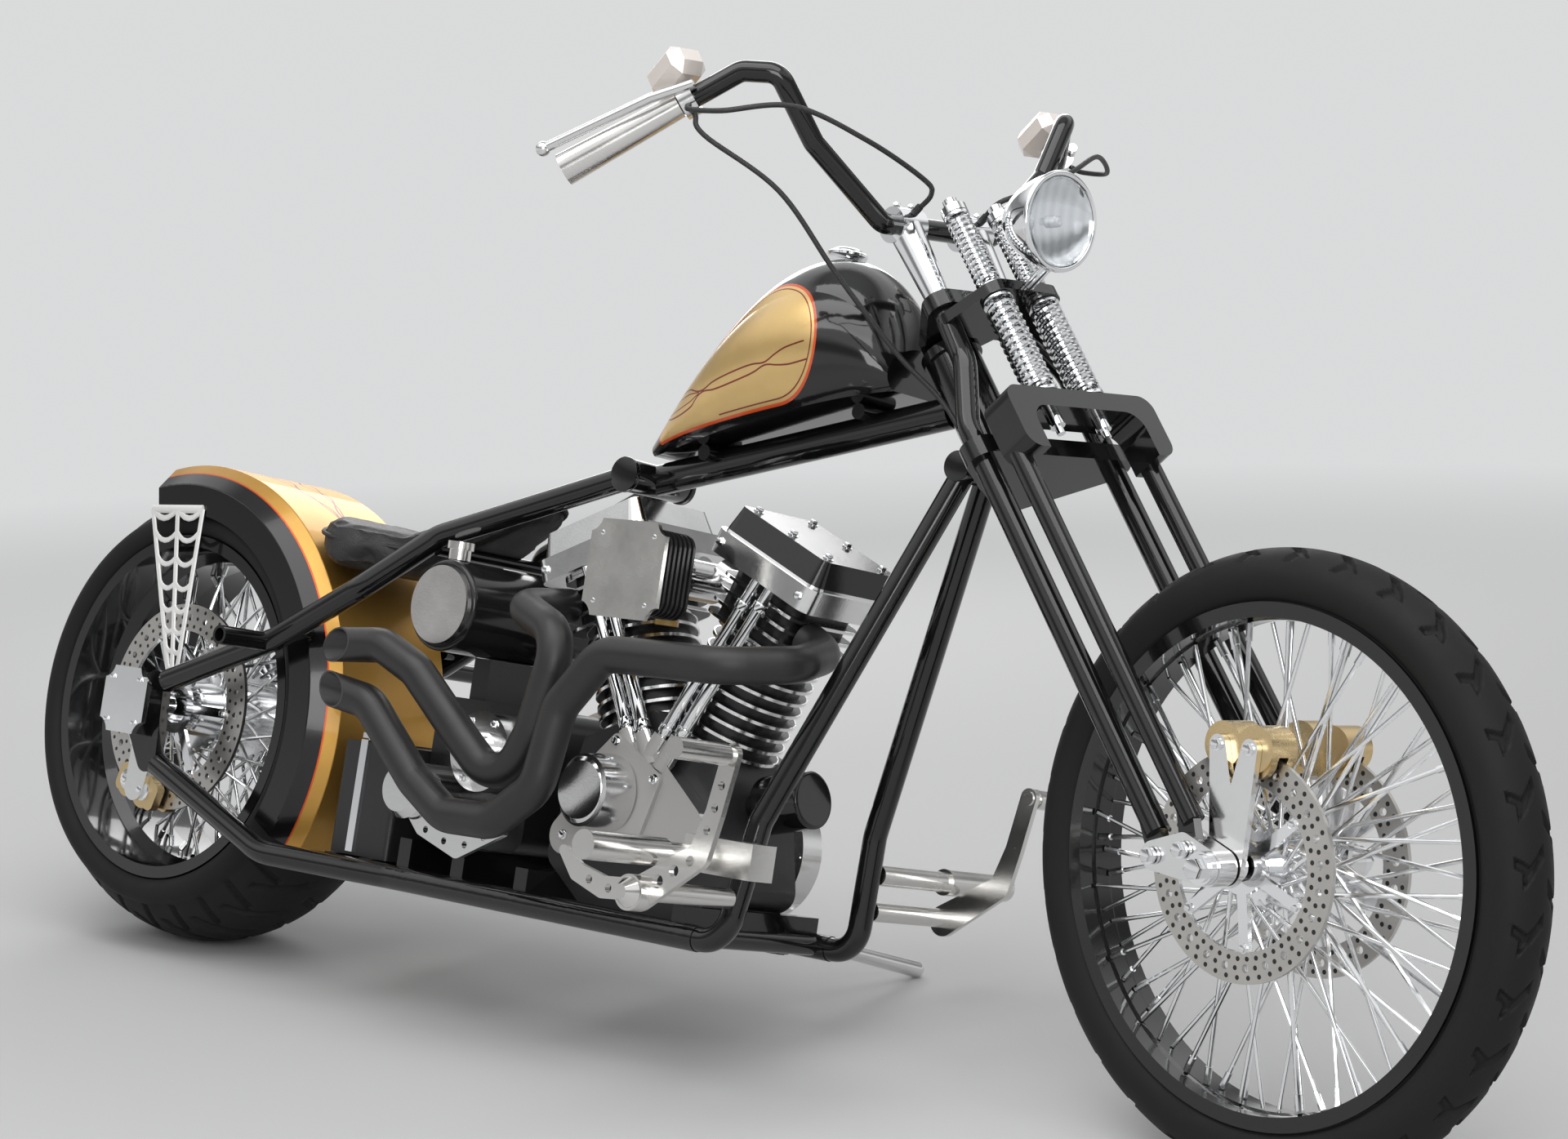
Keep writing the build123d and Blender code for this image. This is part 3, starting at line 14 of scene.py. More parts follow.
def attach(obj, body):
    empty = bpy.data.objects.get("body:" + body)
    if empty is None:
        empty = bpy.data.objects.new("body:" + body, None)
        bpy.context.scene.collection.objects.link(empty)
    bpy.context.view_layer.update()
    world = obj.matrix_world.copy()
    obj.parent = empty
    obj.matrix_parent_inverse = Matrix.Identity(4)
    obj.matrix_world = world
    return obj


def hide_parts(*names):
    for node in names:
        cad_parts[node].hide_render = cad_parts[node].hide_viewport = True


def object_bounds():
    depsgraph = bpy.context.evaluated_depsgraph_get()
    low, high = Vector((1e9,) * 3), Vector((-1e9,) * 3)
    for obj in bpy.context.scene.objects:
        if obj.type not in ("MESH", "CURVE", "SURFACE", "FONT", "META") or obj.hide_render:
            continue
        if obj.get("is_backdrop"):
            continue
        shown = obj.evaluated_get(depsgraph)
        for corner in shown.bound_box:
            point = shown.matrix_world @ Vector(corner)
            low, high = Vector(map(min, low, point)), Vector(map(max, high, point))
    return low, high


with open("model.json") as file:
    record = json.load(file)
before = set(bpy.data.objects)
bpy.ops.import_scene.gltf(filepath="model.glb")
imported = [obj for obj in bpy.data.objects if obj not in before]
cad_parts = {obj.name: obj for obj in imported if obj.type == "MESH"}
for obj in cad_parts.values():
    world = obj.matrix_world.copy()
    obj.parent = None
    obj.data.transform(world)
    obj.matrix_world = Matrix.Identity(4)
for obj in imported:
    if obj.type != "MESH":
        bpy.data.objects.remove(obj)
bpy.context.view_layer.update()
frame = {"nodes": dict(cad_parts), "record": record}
print("parts loaded:", len(frame["nodes"]))

# %% [markdown]
# ## Handy coordinate systems
# The machine is parked leaning on its stand, with the bars turned a little. Working in that tilted world is
# awkward, so each piece is drawn where it is easy and then carried into place by one matrix: `BIKE` is the
# upright machine with the rear axle above its origin, `FORK` has its Z along the steering axis, and each
# wheel has its own with Y along the axle. All are worked out from the joints of the solid model, so they
# always agree with it.

# %% Matrices for the upright machine, the fork, the wheels and the headlamp
RAKE = radians(38)
REAR_AXLE_HEIGHT = 0.325
FORK_OFFSET = 0.110
LAMP_PLACE = Vector((0.232, 0, 0.788))
joints = {joint["name"]: joint for joint in frame["record"]["behaviour"]["joints"]}


def joint_place(name):
    return Vector(joints[name]["pos_m"]), Vector(joints[name]["axis"]).normalized()


def matrix_from(x_axis, y_axis, z_axis, origin):
    return Matrix.Translation(origin) @ Matrix((x_axis, y_axis, z_axis)).transposed().to_4x4()


rear_axle, bike_left = joint_place("rear_wheel_spin")
front_axle, fork_left = joint_place("front_wheel_spin")
steer_axis = joint_place("steering")[1]
across = bike_left.cross(steer_axis).normalized()
bike_ahead = across * cos(RAKE) - steer_axis * sin(RAKE)
bike_up = across * sin(RAKE) + steer_axis * cos(RAKE)
BIKE = matrix_from(bike_ahead, bike_left, bike_up, rear_axle - bike_up * REAR_AXLE_HEIGHT)
fork_ahead = fork_left.cross(steer_axis).normalized()
FORK = matrix_from(fork_ahead, fork_left, steer_axis, front_axle - fork_ahead * FORK_OFFSET)
REAR_WHEEL = BIKE @ Matrix.Translation((0, 0, REAR_AXLE_HEIGHT))
FRONT_WHEEL = FORK @ Matrix.Translation((FORK_OFFSET, 0, 0))
lamp_run = Vector((cos(RAKE), 0, -sin(RAKE)))
LAMP = FORK @ matrix_from(Vector((0, 1, 0)).cross(lamp_run), Vector((0, 1, 0)), lamp_run, LAMP_PLACE)
print("bike origin", [round(v, 3) for v in BIKE.translation], "fork origin",
      [round(v, 3) for v in FORK.translation])

# %% [markdown]
# ## The camera
# A low three-quarter view from ahead of the right-hand side, through a fairly long lens. The camera is placed
# in the upright machine's coordinates and carried over with it, so the lean shows as it should.

# %% Camera
CAMERA_PLACE = Vector((3.560, -2.981, 0.383))
CAMERA_YAW, CAMERA_PITCH, CAMERA_ROLL = radians(130.63), radians(3.29), radians(8.40)
FOCAL_PIXELS, IMAGE_WIDTH, SENSOR = 3897.0, 1920.0, 36.0

looking = Vector((cos(CAMERA_PITCH) * cos(CAMERA_YAW), cos(CAMERA_PITCH) * sin(CAMERA_YAW),
                  sin(CAMERA_PITCH)))
level_right = looking.cross(Vector((0, 0, 1))).normalized()
level_up = level_right.cross(looking)
right = level_right * cos(CAMERA_ROLL) + level_up * sin(CAMERA_ROLL)
up = level_up * cos(CAMERA_ROLL) - level_right * sin(CAMERA_ROLL)
camera_data = bpy.data.cameras.new("camera")
camera_data.sensor_width = SENSOR
camera_data.lens = FOCAL_PIXELS / IMAGE_WIDTH * SENSOR
camera_data.clip_end = 60
camera = bpy.data.objects.new("camera", camera_data)
bpy.context.collection.objects.link(camera)
camera.matrix_world = BIKE @ matrix_from(right, up, -looking, CAMERA_PLACE)
bpy.context.scene.camera = camera
print("lens", round(camera_data.lens, 2), "mm")

# %% [markdown]
# ## Shader maths that reads like maths
# A finish here is a small graph of nodes. Written out one node at a time, such a graph is hard to read, so a
# small class, `Wire`, stands for a socket, and `a * b + c` on wires adds the Math nodes that work it out.

# %% Arithmetic on sockets
def maths(operation):
    """A method that joins a socket to another one, or to a number, by one Math node."""
    return lambda self, other: self.math(operation, other)


class Wire:
    """One socket of a node graph, with arithmetic."""

    def __init__(self, graph, socket):
        self.graph = graph
        self.socket = socket

    def math(self, operation, *others):
        return self.graph.node("ShaderNodeMath", {"operation": operation}, dict(enumerate((self, *others))))

    __add__ = __radd__ = maths("ADD")
    __mul__ = __rmul__ = maths("MULTIPLY")
    __sub__, __truediv__ = maths("SUBTRACT"), maths("DIVIDE")
    __gt__, __lt__ = maths("GREATER_THAN"), maths("LESS_THAN")

    def __rsub__(self, other):
        return (self * -1.0).math("ADD", other)

    def __abs__(self):
        return self.math("ABSOLUTE")


# %% [markdown]
# Any other node comes from one method, `Graph.node`, that takes the node's type, its settings and its inputs.
# A `Graph` is the tree of a material or of the world, and each node's outputs come back as wires.

# %% Graphs of nodes
class Graph:
    """A tree of shader nodes under construction."""

    def __init__(self, tree):
        self.tree = tree

    def feed(self, socket, value):
        """Link a wire to a socket, or set the socket's own value. A colour gets an alpha of 1."""
        if isinstance(value, Wire):
            self.tree.links.new(value.socket, socket)
        elif isinstance(value, tuple) and len(value) == 3 and len(socket.default_value) == 4:
            socket.default_value = (*value, 1.0)
        else:
            socket.default_value = value

    def node(self, kind, settings=(), inputs=(), out=0):
        node = self.tree.nodes.new(kind)
        settings = dict(settings)
        stops = settings.pop("stops", None)
        curve = settings.pop("curve", "LINEAR")
        for key, value in settings.items():
            setattr(node, key, value)
        if stops:
            ramp = node.color_ramp
            ramp.interpolation = curve
            ramp.elements[0].position, ramp.elements[0].color = stops[0][0], (*stops[0][1], 1)
            ramp.elements[1].position, ramp.elements[1].color = stops[-1][0], (*stops[-1][1], 1)
            for place, colour in stops[1:-1]:
                ramp.elements.new(place).color = (*colour, 1)
        for key, value in dict(inputs).items():
            self.feed(node.inputs[key], value)
        return Wire(self, node.outputs[out])

    def split(self, vector):
        """The three parts of a vector."""
        parts = self.node("ShaderNodeSeparateXYZ", {}, {0: vector}).socket.node.outputs
        return [Wire(self, part) for part in parts]


# %% [markdown]
# A `Finish` is the graph of one material. It starts from the Principled shader, which suits paint, metal,
# rubber and glass alike, and adds a few tools for patterns: noise, ranges, curves and bumps.

# %% Materials
class Finish(Graph):
    """A material under construction. Named values go straight onto the Principled shader's own sockets."""

    def __init__(self, name, **sockets):
        self.material = bpy.data.materials.new(name)
        self.material.use_nodes = True
        super().__init__(self.material.node_tree)
        self.shader = self.tree.nodes["Principled BSDF"]
        for label, value in sockets.items():
            self.set(label, value)

    def set(self, label, value):
        self.feed(self.shader.inputs[label.replace("_", " ").title().replace("Ior", "IOR")], value)

    def place(self, matrix=None):
        """Object coordinates in metres, in the world or in the coordinates of one of the matrices."""
        where = self.node("ShaderNodeTexCoord", out="Object")
        if matrix is None:
            return where
        turned = matrix.inverted()
        return self.node("ShaderNodeMapping", {"vector_type": "POINT"}, {
            "Vector": where, "Location": tuple(turned.translation), "Rotation": tuple(turned.to_euler())})

    def coordinates(self, matrix=None):
        return self.split(self.place(matrix))

    def stretch(self, vector, scale):
        return self.node("ShaderNodeVectorMath", {"operation": "MULTIPLY"}, {0: vector, 1: scale})

    def noise(self, where, scale, detail=2.0, roughness=0.5):
        return self.node("ShaderNodeTexNoise", {}, {
            "Vector": where, "Scale": scale, "Detail": detail, "Roughness": roughness}, out="Fac")

    def mix(self, mask, first, second):
        """Colour mix: the first where the mask is 0, the second where it is 1."""
        return self.node("ShaderNodeMix", {"data_type": "RGBA"}, {0: mask, 6: first, 7: second}, out=2)

    def span(self, value, low, high, out_low=0.0, out_high=1.0):
        """A value carried from one range to another, and held inside it."""
        return self.node("ShaderNodeMapRange", {"clamp": True}, {
            0: value, 1: low, 2: high, 3: out_low, 4: out_high})

    def shape(self, value, low, high, heights):
        """A smooth curve along a value, drawn near (place, height) pairs, with heights from 0 to 1."""
        stops = [((place - low) / (high - low), (height,) * 3) for place, height in heights]
        return self.node("ShaderNodeValToRGB", {"stops": stops, "curve": "B_SPLINE"}, {
            0: self.span(value, low, high)})

    def bump(self, height, distance, strength=1.0):
        self.set("normal", self.node("ShaderNodeBump", {}, {
            "Height": height, "Distance": distance, "Strength": strength}))

    def paint(self, *names):
        """Put this material on parts of the solid model."""
        for name in names:
            slots = frame["nodes"][name].material_slots
            if len(slots) == 0:
                frame["nodes"][name].data.materials.append(self.material)
            for slot in slots:
                slot.material = self.material


# %% [markdown]
# ## Meshes from operators
# New pieces are made with bmesh operators. A drum is a short cylinder or cone between two points, a bar is a
# ring carried along a line of points, and a turned piece is a profile spun about an axis, as on a lathe.
# `add_piece` makes such a mesh into an object that rides on one body of the model.

# %% A piece from a mesh
SHARP = radians(38)


def add_piece(name, shape, body, finish, matrix=None, replaces=()):
    if matrix is not None:
        bmesh.ops.transform(shape, matrix=matrix, verts=shape.verts)
    bmesh.ops.recalc_face_normals(shape, faces=shape.faces)
    mesh = bpy.data.meshes.new(name)
    shape.to_mesh(mesh)
    shape.free()
    mesh.shade_smooth()
    mesh.set_sharp_from_angle(angle=SHARP)
    mesh.materials.append(finish.material)
    piece = bpy.data.objects.new(name, mesh)
    bpy.context.collection.objects.link(piece)
    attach(piece, body)
    if replaces:
        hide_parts(*replaces)
    print(name, len(mesh.polygons), "faces")


# %% [markdown]
# Bolts, spokes, rollers and cups are all drums, and cables, straps and welts are all bars. A drum's rims can
# be rounded a little, because no edge on a real part is perfectly sharp and a rounded one catches the light.

# %% Drums and bars
def turned_to(direction):
    """The turn that points an object's own Z along a direction."""
    return Vector(direction).to_track_quat("Z", "Y").to_matrix().to_4x4()


def add_drum(shape, start, end, radius, end_radius=None, segments=24, bevel=0.0):
    """A cylinder or cone from one point to another, with its rims rounded when a bevel is given."""
    run = Vector(end) - Vector(start)
    matrix = Matrix.Translation((Vector(start) + Vector(end)) / 2) @ turned_to(run)
    made = bmesh.ops.create_cone(shape, cap_ends=True, segments=segments, radius1=radius,
                                 radius2=radius if end_radius is None else end_radius, depth=run.length,
                                 matrix=matrix)
    if bevel:
        rims = {edge for vert in made["verts"] for edge in vert.link_edges
                if any(len(face.verts) == segments for face in edge.link_faces)}
        bmesh.ops.bevel(shape, geom=list(rims), offset=bevel, offset_type="OFFSET", segments=2, profile=0.5,
                        affect="EDGES", material=-1)


def add_bar(shape, points, radius, sides=8, squash=1.0, squash_axis=None):
    """A bar along a line of points, with flat ends. It can be thinner along one axis."""
    points = [Vector(point) for point in points]
    rings = []
    for index, point in enumerate(points):
        run = points[min(index + 1, len(points) - 1)] - points[max(index - 1, 0)]
        matrix = Matrix.Translation(point) @ turned_to(run)
        ends = index in (0, len(points) - 1)
        made = bmesh.ops.create_circle(shape, cap_ends=ends, segments=sides, radius=radius, matrix=matrix)
        if squash_axis is not None:
            for vert in made["verts"]:
                off = (vert.co - point).dot(squash_axis)
                vert.co -= squash_axis * off * (1 - squash)
        rings.append({edge for vert in made["verts"] for edge in vert.link_edges})
    for first, second in zip(rings, rings[1:]):
        bmesh.ops.bridge_loops(shape, edges=list(first | second))


# %% [markdown]
# A tyre, a cap, a bowl and a bezel are the same all the way round. The spin operator repeats one profile in
# small steps about the axis, and the points that fall together where the turn closes are merged.

# %% Turned pieces
def spin_profile(shape, profile, axis, across_axis, steps, closed):
    """Turn a profile of (distance from the axis, place along it) about an axis through the origin."""
    verts = [shape.verts.new(Vector(across_axis) * r + Vector(axis) * z) for r, z in profile]
    edges = [shape.edges.new(pair) for pair in zip(verts, verts[1:])]
    if closed:
        edges.append(shape.edges.new((verts[-1], verts[0])))
    bmesh.ops.spin(shape, geom=verts + edges, cent=(0, 0, 0), axis=axis, angle=2 * pi, steps=steps,
                   use_merge=True)
    bmesh.ops.remove_doubles(shape, verts=shape.verts, dist=0.00001)


def add_turned(name, profile, body, finish, matrix, steps, closed=False, replaces=()):
    """A piece turned about its own Z axis."""
    shape = bmesh.new()
    spin_profile(shape, profile, (0, 0, 1), (1, 0, 0), steps, closed)
    add_piece(name, shape, body, finish, matrix, replaces)


# %% [markdown]
# ## The studio
# The machine stands on a plain pale floor. Far from the machine the floor fades into the same grey that the
# camera sees behind it, so no horizon cuts through the picture. Only what is seen or mirrored fades: the
# light that the floor throws back stays as it is.

# %% Floor
BACKDROP = (0.70, 0.705, 0.71)
FLOOR_SIZE, FADE_START, FADE_END = 24, 1.6, 6.5
bpy.context.scene.view_settings.view_transform = "Standard"
floor_mesh = bpy.data.meshes.new("floor")
shape = bmesh.new()
bmesh.ops.create_grid(shape, x_segments=1, y_segments=1, size=FLOOR_SIZE)
shape.to_mesh(floor_mesh)
shape.free()
floor = bpy.data.objects.new("floor", floor_mesh)
bpy.context.collection.objects.link(floor)
floor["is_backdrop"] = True


def seen_as(graph, *rays):
    """1 for rays of the named kinds, and 0 for all others."""
    kinds = [graph.node("ShaderNodeLightPath", out=f"Is {ray} Ray") for ray in rays]
    mask = kinds[0]
    for kind in kinds[1:]:
        mask = mask.math("MAXIMUM", kind)
    return mask


floor_finish = Finish("floor_finish", base_color=(0.64, 0.64, 0.64), roughness=0.9, specular_ior_level=0.1)
across_floor, along_floor, _ = floor_finish.coordinates()
from_machine = (across_floor * across_floor + along_floor * along_floor).math("SQRT")
glow = floor_finish.node("ShaderNodeEmission", {}, {"Color": BACKDROP, "Strength": 1.0})
fade = floor_finish.span(from_machine, FADE_START, FADE_END) * seen_as(floor_finish, "Camera", "Glossy")
blended = floor_finish.node("ShaderNodeMixShader", {}, {
    0: fade, 1: Wire(floor_finish, floor_finish.shader.outputs[0]), 2: glow})
floor_finish.feed(floor_finish.tree.nodes["Material Output"].inputs["Surface"], blended)
floor_mesh.materials.append(floor_finish.material)
print("floor:", 2 * FLOOR_SIZE, "m across")

# %% [markdown]
# Three large lamps add long soft highlights along the pipes and the paint. Their size matters more than their
# power: a small lamp would make hard bright spots on the chrome.

# %% Lamps
def add_lamp(name, place, aim, size, power):
    lamp_data = bpy.data.lights.new(name, "AREA")
    lamp_data.shape = "RECTANGLE"
    lamp_data.size, lamp_data.size_y = size
    lamp_data.energy = power
    lamp = bpy.data.objects.new(name, lamp_data)
    bpy.context.collection.objects.link(lamp)
    facing = (Vector(aim) - Vector(place)).to_track_quat("-Z", "Y").to_matrix().to_4x4()
    lamp.matrix_world = Matrix.Translation(place) @ facing


add_lamp("lamp_above", (0.4, -1.0, 3.6), (0, 0, 0.4), (4.0, 2.4), 72)
add_lamp("lamp_front", (3.2, -3.4, 2.2), (0, 0, 0.5), (2.0, 2.0), 55)
add_lamp("lamp_behind", (-2.6, 2.8, 2.2), (0, 0, 0.6), (2.4, 1.6), 40)

# %% [markdown]
# Polished metal shows what is around it, so the surroundings are a plain pale grey with a darker band and a
# brighter one higher up, as walls and a ceiling light would give. The same room lights the machine, a little
# more dimly.

# %% Surroundings
LIGHT_LEVEL = 0.66
WALL_BANDS = ((0.10, 0.70), (0.22, 0.26), (0.34, 0.22), (0.52, 1.0), (0.74, 1.0), (0.84, 0.34))
CEILING = (0.62, 0.63, 0.64)
world = bpy.context.scene.world or bpy.data.worlds.new("world")
bpy.context.scene.world = world
world.use_nodes = True
sky = Graph(world.node_tree)
height = sky.split(sky.node("ShaderNodeTexCoord", out="Generated"))[2]
bands = [(place, (level, level * 1.005, level * 1.01)) for place, level in WALL_BANDS]
room = sky.node("ShaderNodeValToRGB", {"stops": [(0.0, BACKDROP), *bands, (1.0, CEILING)]}, {0: height})
soft_light = world.node_tree.nodes["Background"]
sky.feed(soft_light.inputs["Color"], room)
sky.feed(soft_light.inputs["Strength"], LIGHT_LEVEL)
backdrop = sky.node("ShaderNodeBackground", {}, {"Color": room})
both = sky.node("ShaderNodeMixShader", {}, {
    0: seen_as(sky, "Camera", "Transmission", "Glossy"), 1: Wire(sky, soft_light.outputs[0]), 2: backdrop})
sky.feed(world.node_tree.nodes["World Output"].inputs["Surface"], both)
print("bands in the room:", len(WALL_BANDS))

# %% [markdown]
# ## Enamel, chrome and bare metal
# Few real surfaces are one even colour. Enamel has a very slight orange-peel ripple under its clear coat,
# chrome is a little smeared by hands, and brushed alloy is drawn out along one direction. Three makers of
# finishes give those traits to every part, so only the colours and the amounts differ.

# %% Makers of plain finishes
def tones(colour, darker, lighter):
    """One colour a little darker, and a little lighter."""
    return [tuple(channel * level for channel in colour) for level in (darker, lighter)]


def make_enamel(name, colour, gloss=0.1, ripple=0.25, **sockets):
    enamel = Finish(name, coat_roughness=0.04, **sockets)
    where = enamel.place()
    cloud = enamel.noise(where, 7.0, 4.0)
    enamel.set("base_color", enamel.mix(cloud, *tones(colour, 0.8, 1.3)))
    enamel.set("roughness", enamel.span(enamel.noise(where, 24.0, 5.0), 0.3, 0.7, gloss * 0.7, gloss * 1.7))
    enamel.bump(enamel.noise(where, 330.0, 1.0), 0.0002, ripple)
    return enamel


def make_metal(name, colour, rough, drawn=(1.0, 1.0, 1.0), grain=60.0, depth=0.00006, matrix=None):
    metal = Finish(name, metallic=1.0)
    where = metal.place(matrix)
    smear = metal.noise(where, 11.0, 5.0, 0.6)
    lines = metal.noise(metal.stretch(where, drawn), grain, 3.0, 0.6)
    metal.set("base_color", metal.mix(smear, *tones(colour, 0.90, 1.06)))
    metal.set("roughness", metal.span(smear * 0.6 + lines * 0.4, 0.3, 0.7, rough * 0.6, rough * 1.5))
    metal.bump(lines, depth, 0.35)
    return metal


def make_casting(name, colour, rough, pebble=420.0, metallic=0.0):
    casting = Finish(name, metallic=metallic)
    where = casting.place()
    cloud = casting.noise(where, 14.0, 6.0, 0.65)
    casting.set("base_color", casting.mix(cloud, *tones(colour, 0.65, 1.5)))
    casting.set("roughness", casting.span(cloud, 0.3, 0.7, rough * 0.8, rough * 1.25))
    casting.bump(casting.noise(where, pebble, 3.0, 0.7), 0.0005, 0.5)
    return casting


# %% [markdown]
# The frame, bars, fork legs and rims share one deep black enamel. The bright parts are of three kinds: mirror
# chrome, polished alloy with faint lines, and flat plates brushed along one way.

# %% Paint the plain parts
gloss_black = make_enamel("gloss_black", (0.006, 0.006, 0.0065), coat_weight=0.5, specular_ior_level=0.35)
gloss_black.paint("frame_neck", "frame_backbone", "frame_upper_stays", "frame_lower_rails", "frame_downtubes",
                  "fork_rear_legs", "fork_front_legs", "stand_bracket", "handlebar", "rear_rim", "front_rim",
                  "oil_filter")
case_black = make_casting("case_black", (0.022, 0.022, 0.024), 0.38)
case_black.paint("engine_case", "battery_box")
chrome = make_metal("chrome", (0.86, 0.87, 0.88), 0.07, depth=0.00002)
chrome.paint("risers", "spring_rods", "headlamp_shell", "rear_axle", "front_axle", "battery_strap")
spoke_chrome = make_metal("spoke_chrome", (0.88, 0.89, 0.90), 0.15, depth=0.00002)
spoke_chrome.paint("rear_hub", "front_hub")
polished = make_metal("polished_alloy", (0.80, 0.80, 0.80), 0.15, (1.0, 6.0, 1.0), 90.0)
polished.paint("primary_cover", "fork_rockers", "kicker_cover", "side_stand", "hand_controls",
               "caliper_brackets", "rear_caliper_bracket")
brushed = make_metal("brushed_alloy", (0.74, 0.73, 0.71), 0.20, (1.0, 1.0, 9.0), 130.0, 0.00003, BIKE)
brushed.paint("forward_controls", "grips")
pearl = make_enamel("pearl", (0.78, 0.71, 0.66), 0.16, 0.15, coat_weight=1.0, metallic=0.25)
pearl.paint("reservoirs")
print("materials so far:", len(bpy.data.materials))

# %% [markdown]
# Satin exhaust paint is matt and slightly chalky, with a fine tooth. Heat dulls it a little more near the
# ports.

# %% Exhausts
pipe_black = Finish("pipe_black", specular_ior_level=0.55)
pipe_place = pipe_black.place()
pipe_cloud = pipe_black.noise(pipe_place, 9.0, 6.0, 0.6)
pipe_black.set("base_color", pipe_black.mix(pipe_cloud, (0.011, 0.0105, 0.0105), (0.024, 0.022, 0.0215)))
pipe_black.set("roughness", pipe_black.span(pipe_cloud, 0.3, 0.7, 0.34, 0.5))
pipe_black.bump(pipe_black.noise(pipe_place, 700.0, 2.0, 0.6), 0.00025, 0.5)
pipe_black.paint("exhausts")

# %% [markdown]
# ## Parts with two finishes
# Several castings are black with machined edges or caps. Painting them by hand would need a picture for each
# part. Where the bright part follows the shape, one mask worked out from the place on the machine switches
# colour, metal and roughness together. The masks use the upright machine's coordinates: X forward, Y to the
# left, Z up.

# %% A finish from a mask
BLACK, BRASS = (0.014, 0.014, 0.015), (0.62, 0.40, 0.13)
SILVER, WARM_SILVER = (0.80, 0.80, 0.80), (0.74, 0.73, 0.70)


def two_finish(name, part, mask_at, dark=BLACK, bright=SILVER, dark_rough=0.3, bright_rough=0.16):
    """Bare metal where the mask is 1 and paint where it is 0, for one part of the solid model."""
    finish = Finish(name)
    where = finish.place(BIKE)
    mask = mask_at(*finish.split(where))
    smear = finish.noise(where, 18.0, 5.0, 0.6)
    tone = finish.node("ShaderNodeVectorMath", {"operation": "SCALE"},
                       {0: bright, "Scale": smear * 0.35 + 0.82})
    finish.set("base_color", finish.mix(mask, dark, tone))
    finish.set("metallic", mask)
    rough = finish.span(mask, 0.0, 1.0, dark_rough, bright_rough)
    finish.set("roughness", rough * (smear * 0.8 + 0.6))
    finish.bump(finish.noise(where, 380.0, 3.0, 0.7), 0.00025, 0.3)
    finish.paint(part)


# %% [markdown]
# The two cylinders lean apart by the same angle, so one pair of sums gives the place across and along the
# nearer one. The rims of the fins are machined bright, the rocker covers are polished, and the front cover
# has a black lid.

# %% Cylinders, heads and rocker covers
ENGINE_X, ENGINE_Z, CYLINDER_ANGLE = 0.890, 0.252, radians(22.5)
FIN_RIM, HEAD_RIM_ACROSS, HEAD_RIM_SIDE, LID_FOOT = 0.0700, 0.0725, 0.0625, 0.3955


def along_cylinders(x, z):
    """Distance across and along the nearer cylinder's own axis."""
    ahead, high = abs(x - ENGINE_X), z - ENGINE_Z
    return (ahead * cos(CYLINDER_ANGLE) - high * sin(CYLINDER_ANGLE),
            ahead * sin(CYLINDER_ANGLE) + high * cos(CYLINDER_ANGLE))


def fin_rim(x, y, z):
    over = along_cylinders(x, z)[0]
    return (over * over + y * y).math("SQRT") > FIN_RIM


def head_rim(x, y, z):
    over = along_cylinders(x, z)[0]
    return (abs(over) > HEAD_RIM_ACROSS).math("MAXIMUM", abs(y) > HEAD_RIM_SIDE)


def all_but_front_lid(x, y, z):
    return 1 - (along_cylinders(x, z)[1] > LID_FOOT) * (x > ENGINE_X)


two_finish("cylinder_fins", "cylinders", fin_rim)
two_finish("head_fins", "cylinder_heads", head_rim)
two_finish("rocker_covers", "rocker_boxes", all_but_front_lid, dark_rough=0.12, bright_rough=0.15)
print("engine finishes done, materials:", len(bpy.data.materials))

# %% [markdown]
# The remaining masks are planes. The polished dome of the cam cover stands on a triangular plate with a
# duller face, the gearbox and the air cleaner have machined outer faces, the oil tank has bright end caps and
# a bright filler, and the carburettor is bright over a brass bowl.

# %% Covers, oil tank and carburettor
CAM_PLATE, GEARBOX_FACE, CLEANER_FACE, BOWL_TOP = (-0.1060, -0.0990), -0.0625, -0.1740, 0.5600
OIL_CAP_SIDE, FILLER_FOOT, FILLER_SIDE = 0.1341, 0.5712, -0.085


def oil_caps(x, y, z):
    return (abs(y) > OIL_CAP_SIDE).math("MAXIMUM", (z > FILLER_FOOT) * (y < FILLER_SIDE))


two_finish("cam_cover_metal", "cam_cover", lambda x, y, z: 1 - (y > CAM_PLATE[0]) * (y < CAM_PLATE[1]),
           dark=(0.45, 0.44, 0.43), dark_rough=0.45, bright_rough=0.13)
two_finish("gearbox_metal", "transmission", lambda x, y, z: y < GEARBOX_FACE)
two_finish("oil_tank_metal", "oil_tank", oil_caps, bright=(0.84, 0.82, 0.80), dark_rough=0.10,
           bright_rough=0.2)
two_finish("air_cleaner_metal", "air_cleaner", lambda x, y, z: y < CLEANER_FACE, bright=WARM_SILVER,
           dark_rough=0.35, bright_rough=0.26)
two_finish("carburettor_brass", "intake", lambda x, y, z: z > BOWL_TOP, dark=BRASS, dark_rough=0.25)
print("two-finish parts done, materials:", len(bpy.data.materials))

# %% [markdown]
# ## Brake discs, calipers and pushrod tubes
# A disc's ring is ground in circles, so its grain follows the distance from the axle. The star carrier inside
# it is bright and plain. Between the drilled holes of the solid disc, rows of small dimples are drawn by
# distance and angle from the axle, as near-black spots that are painted shade inside each dimple.

# %% A disc's finish
DIMPLE_RADIUS, RING_GRAIN = 0.0027, 900.0


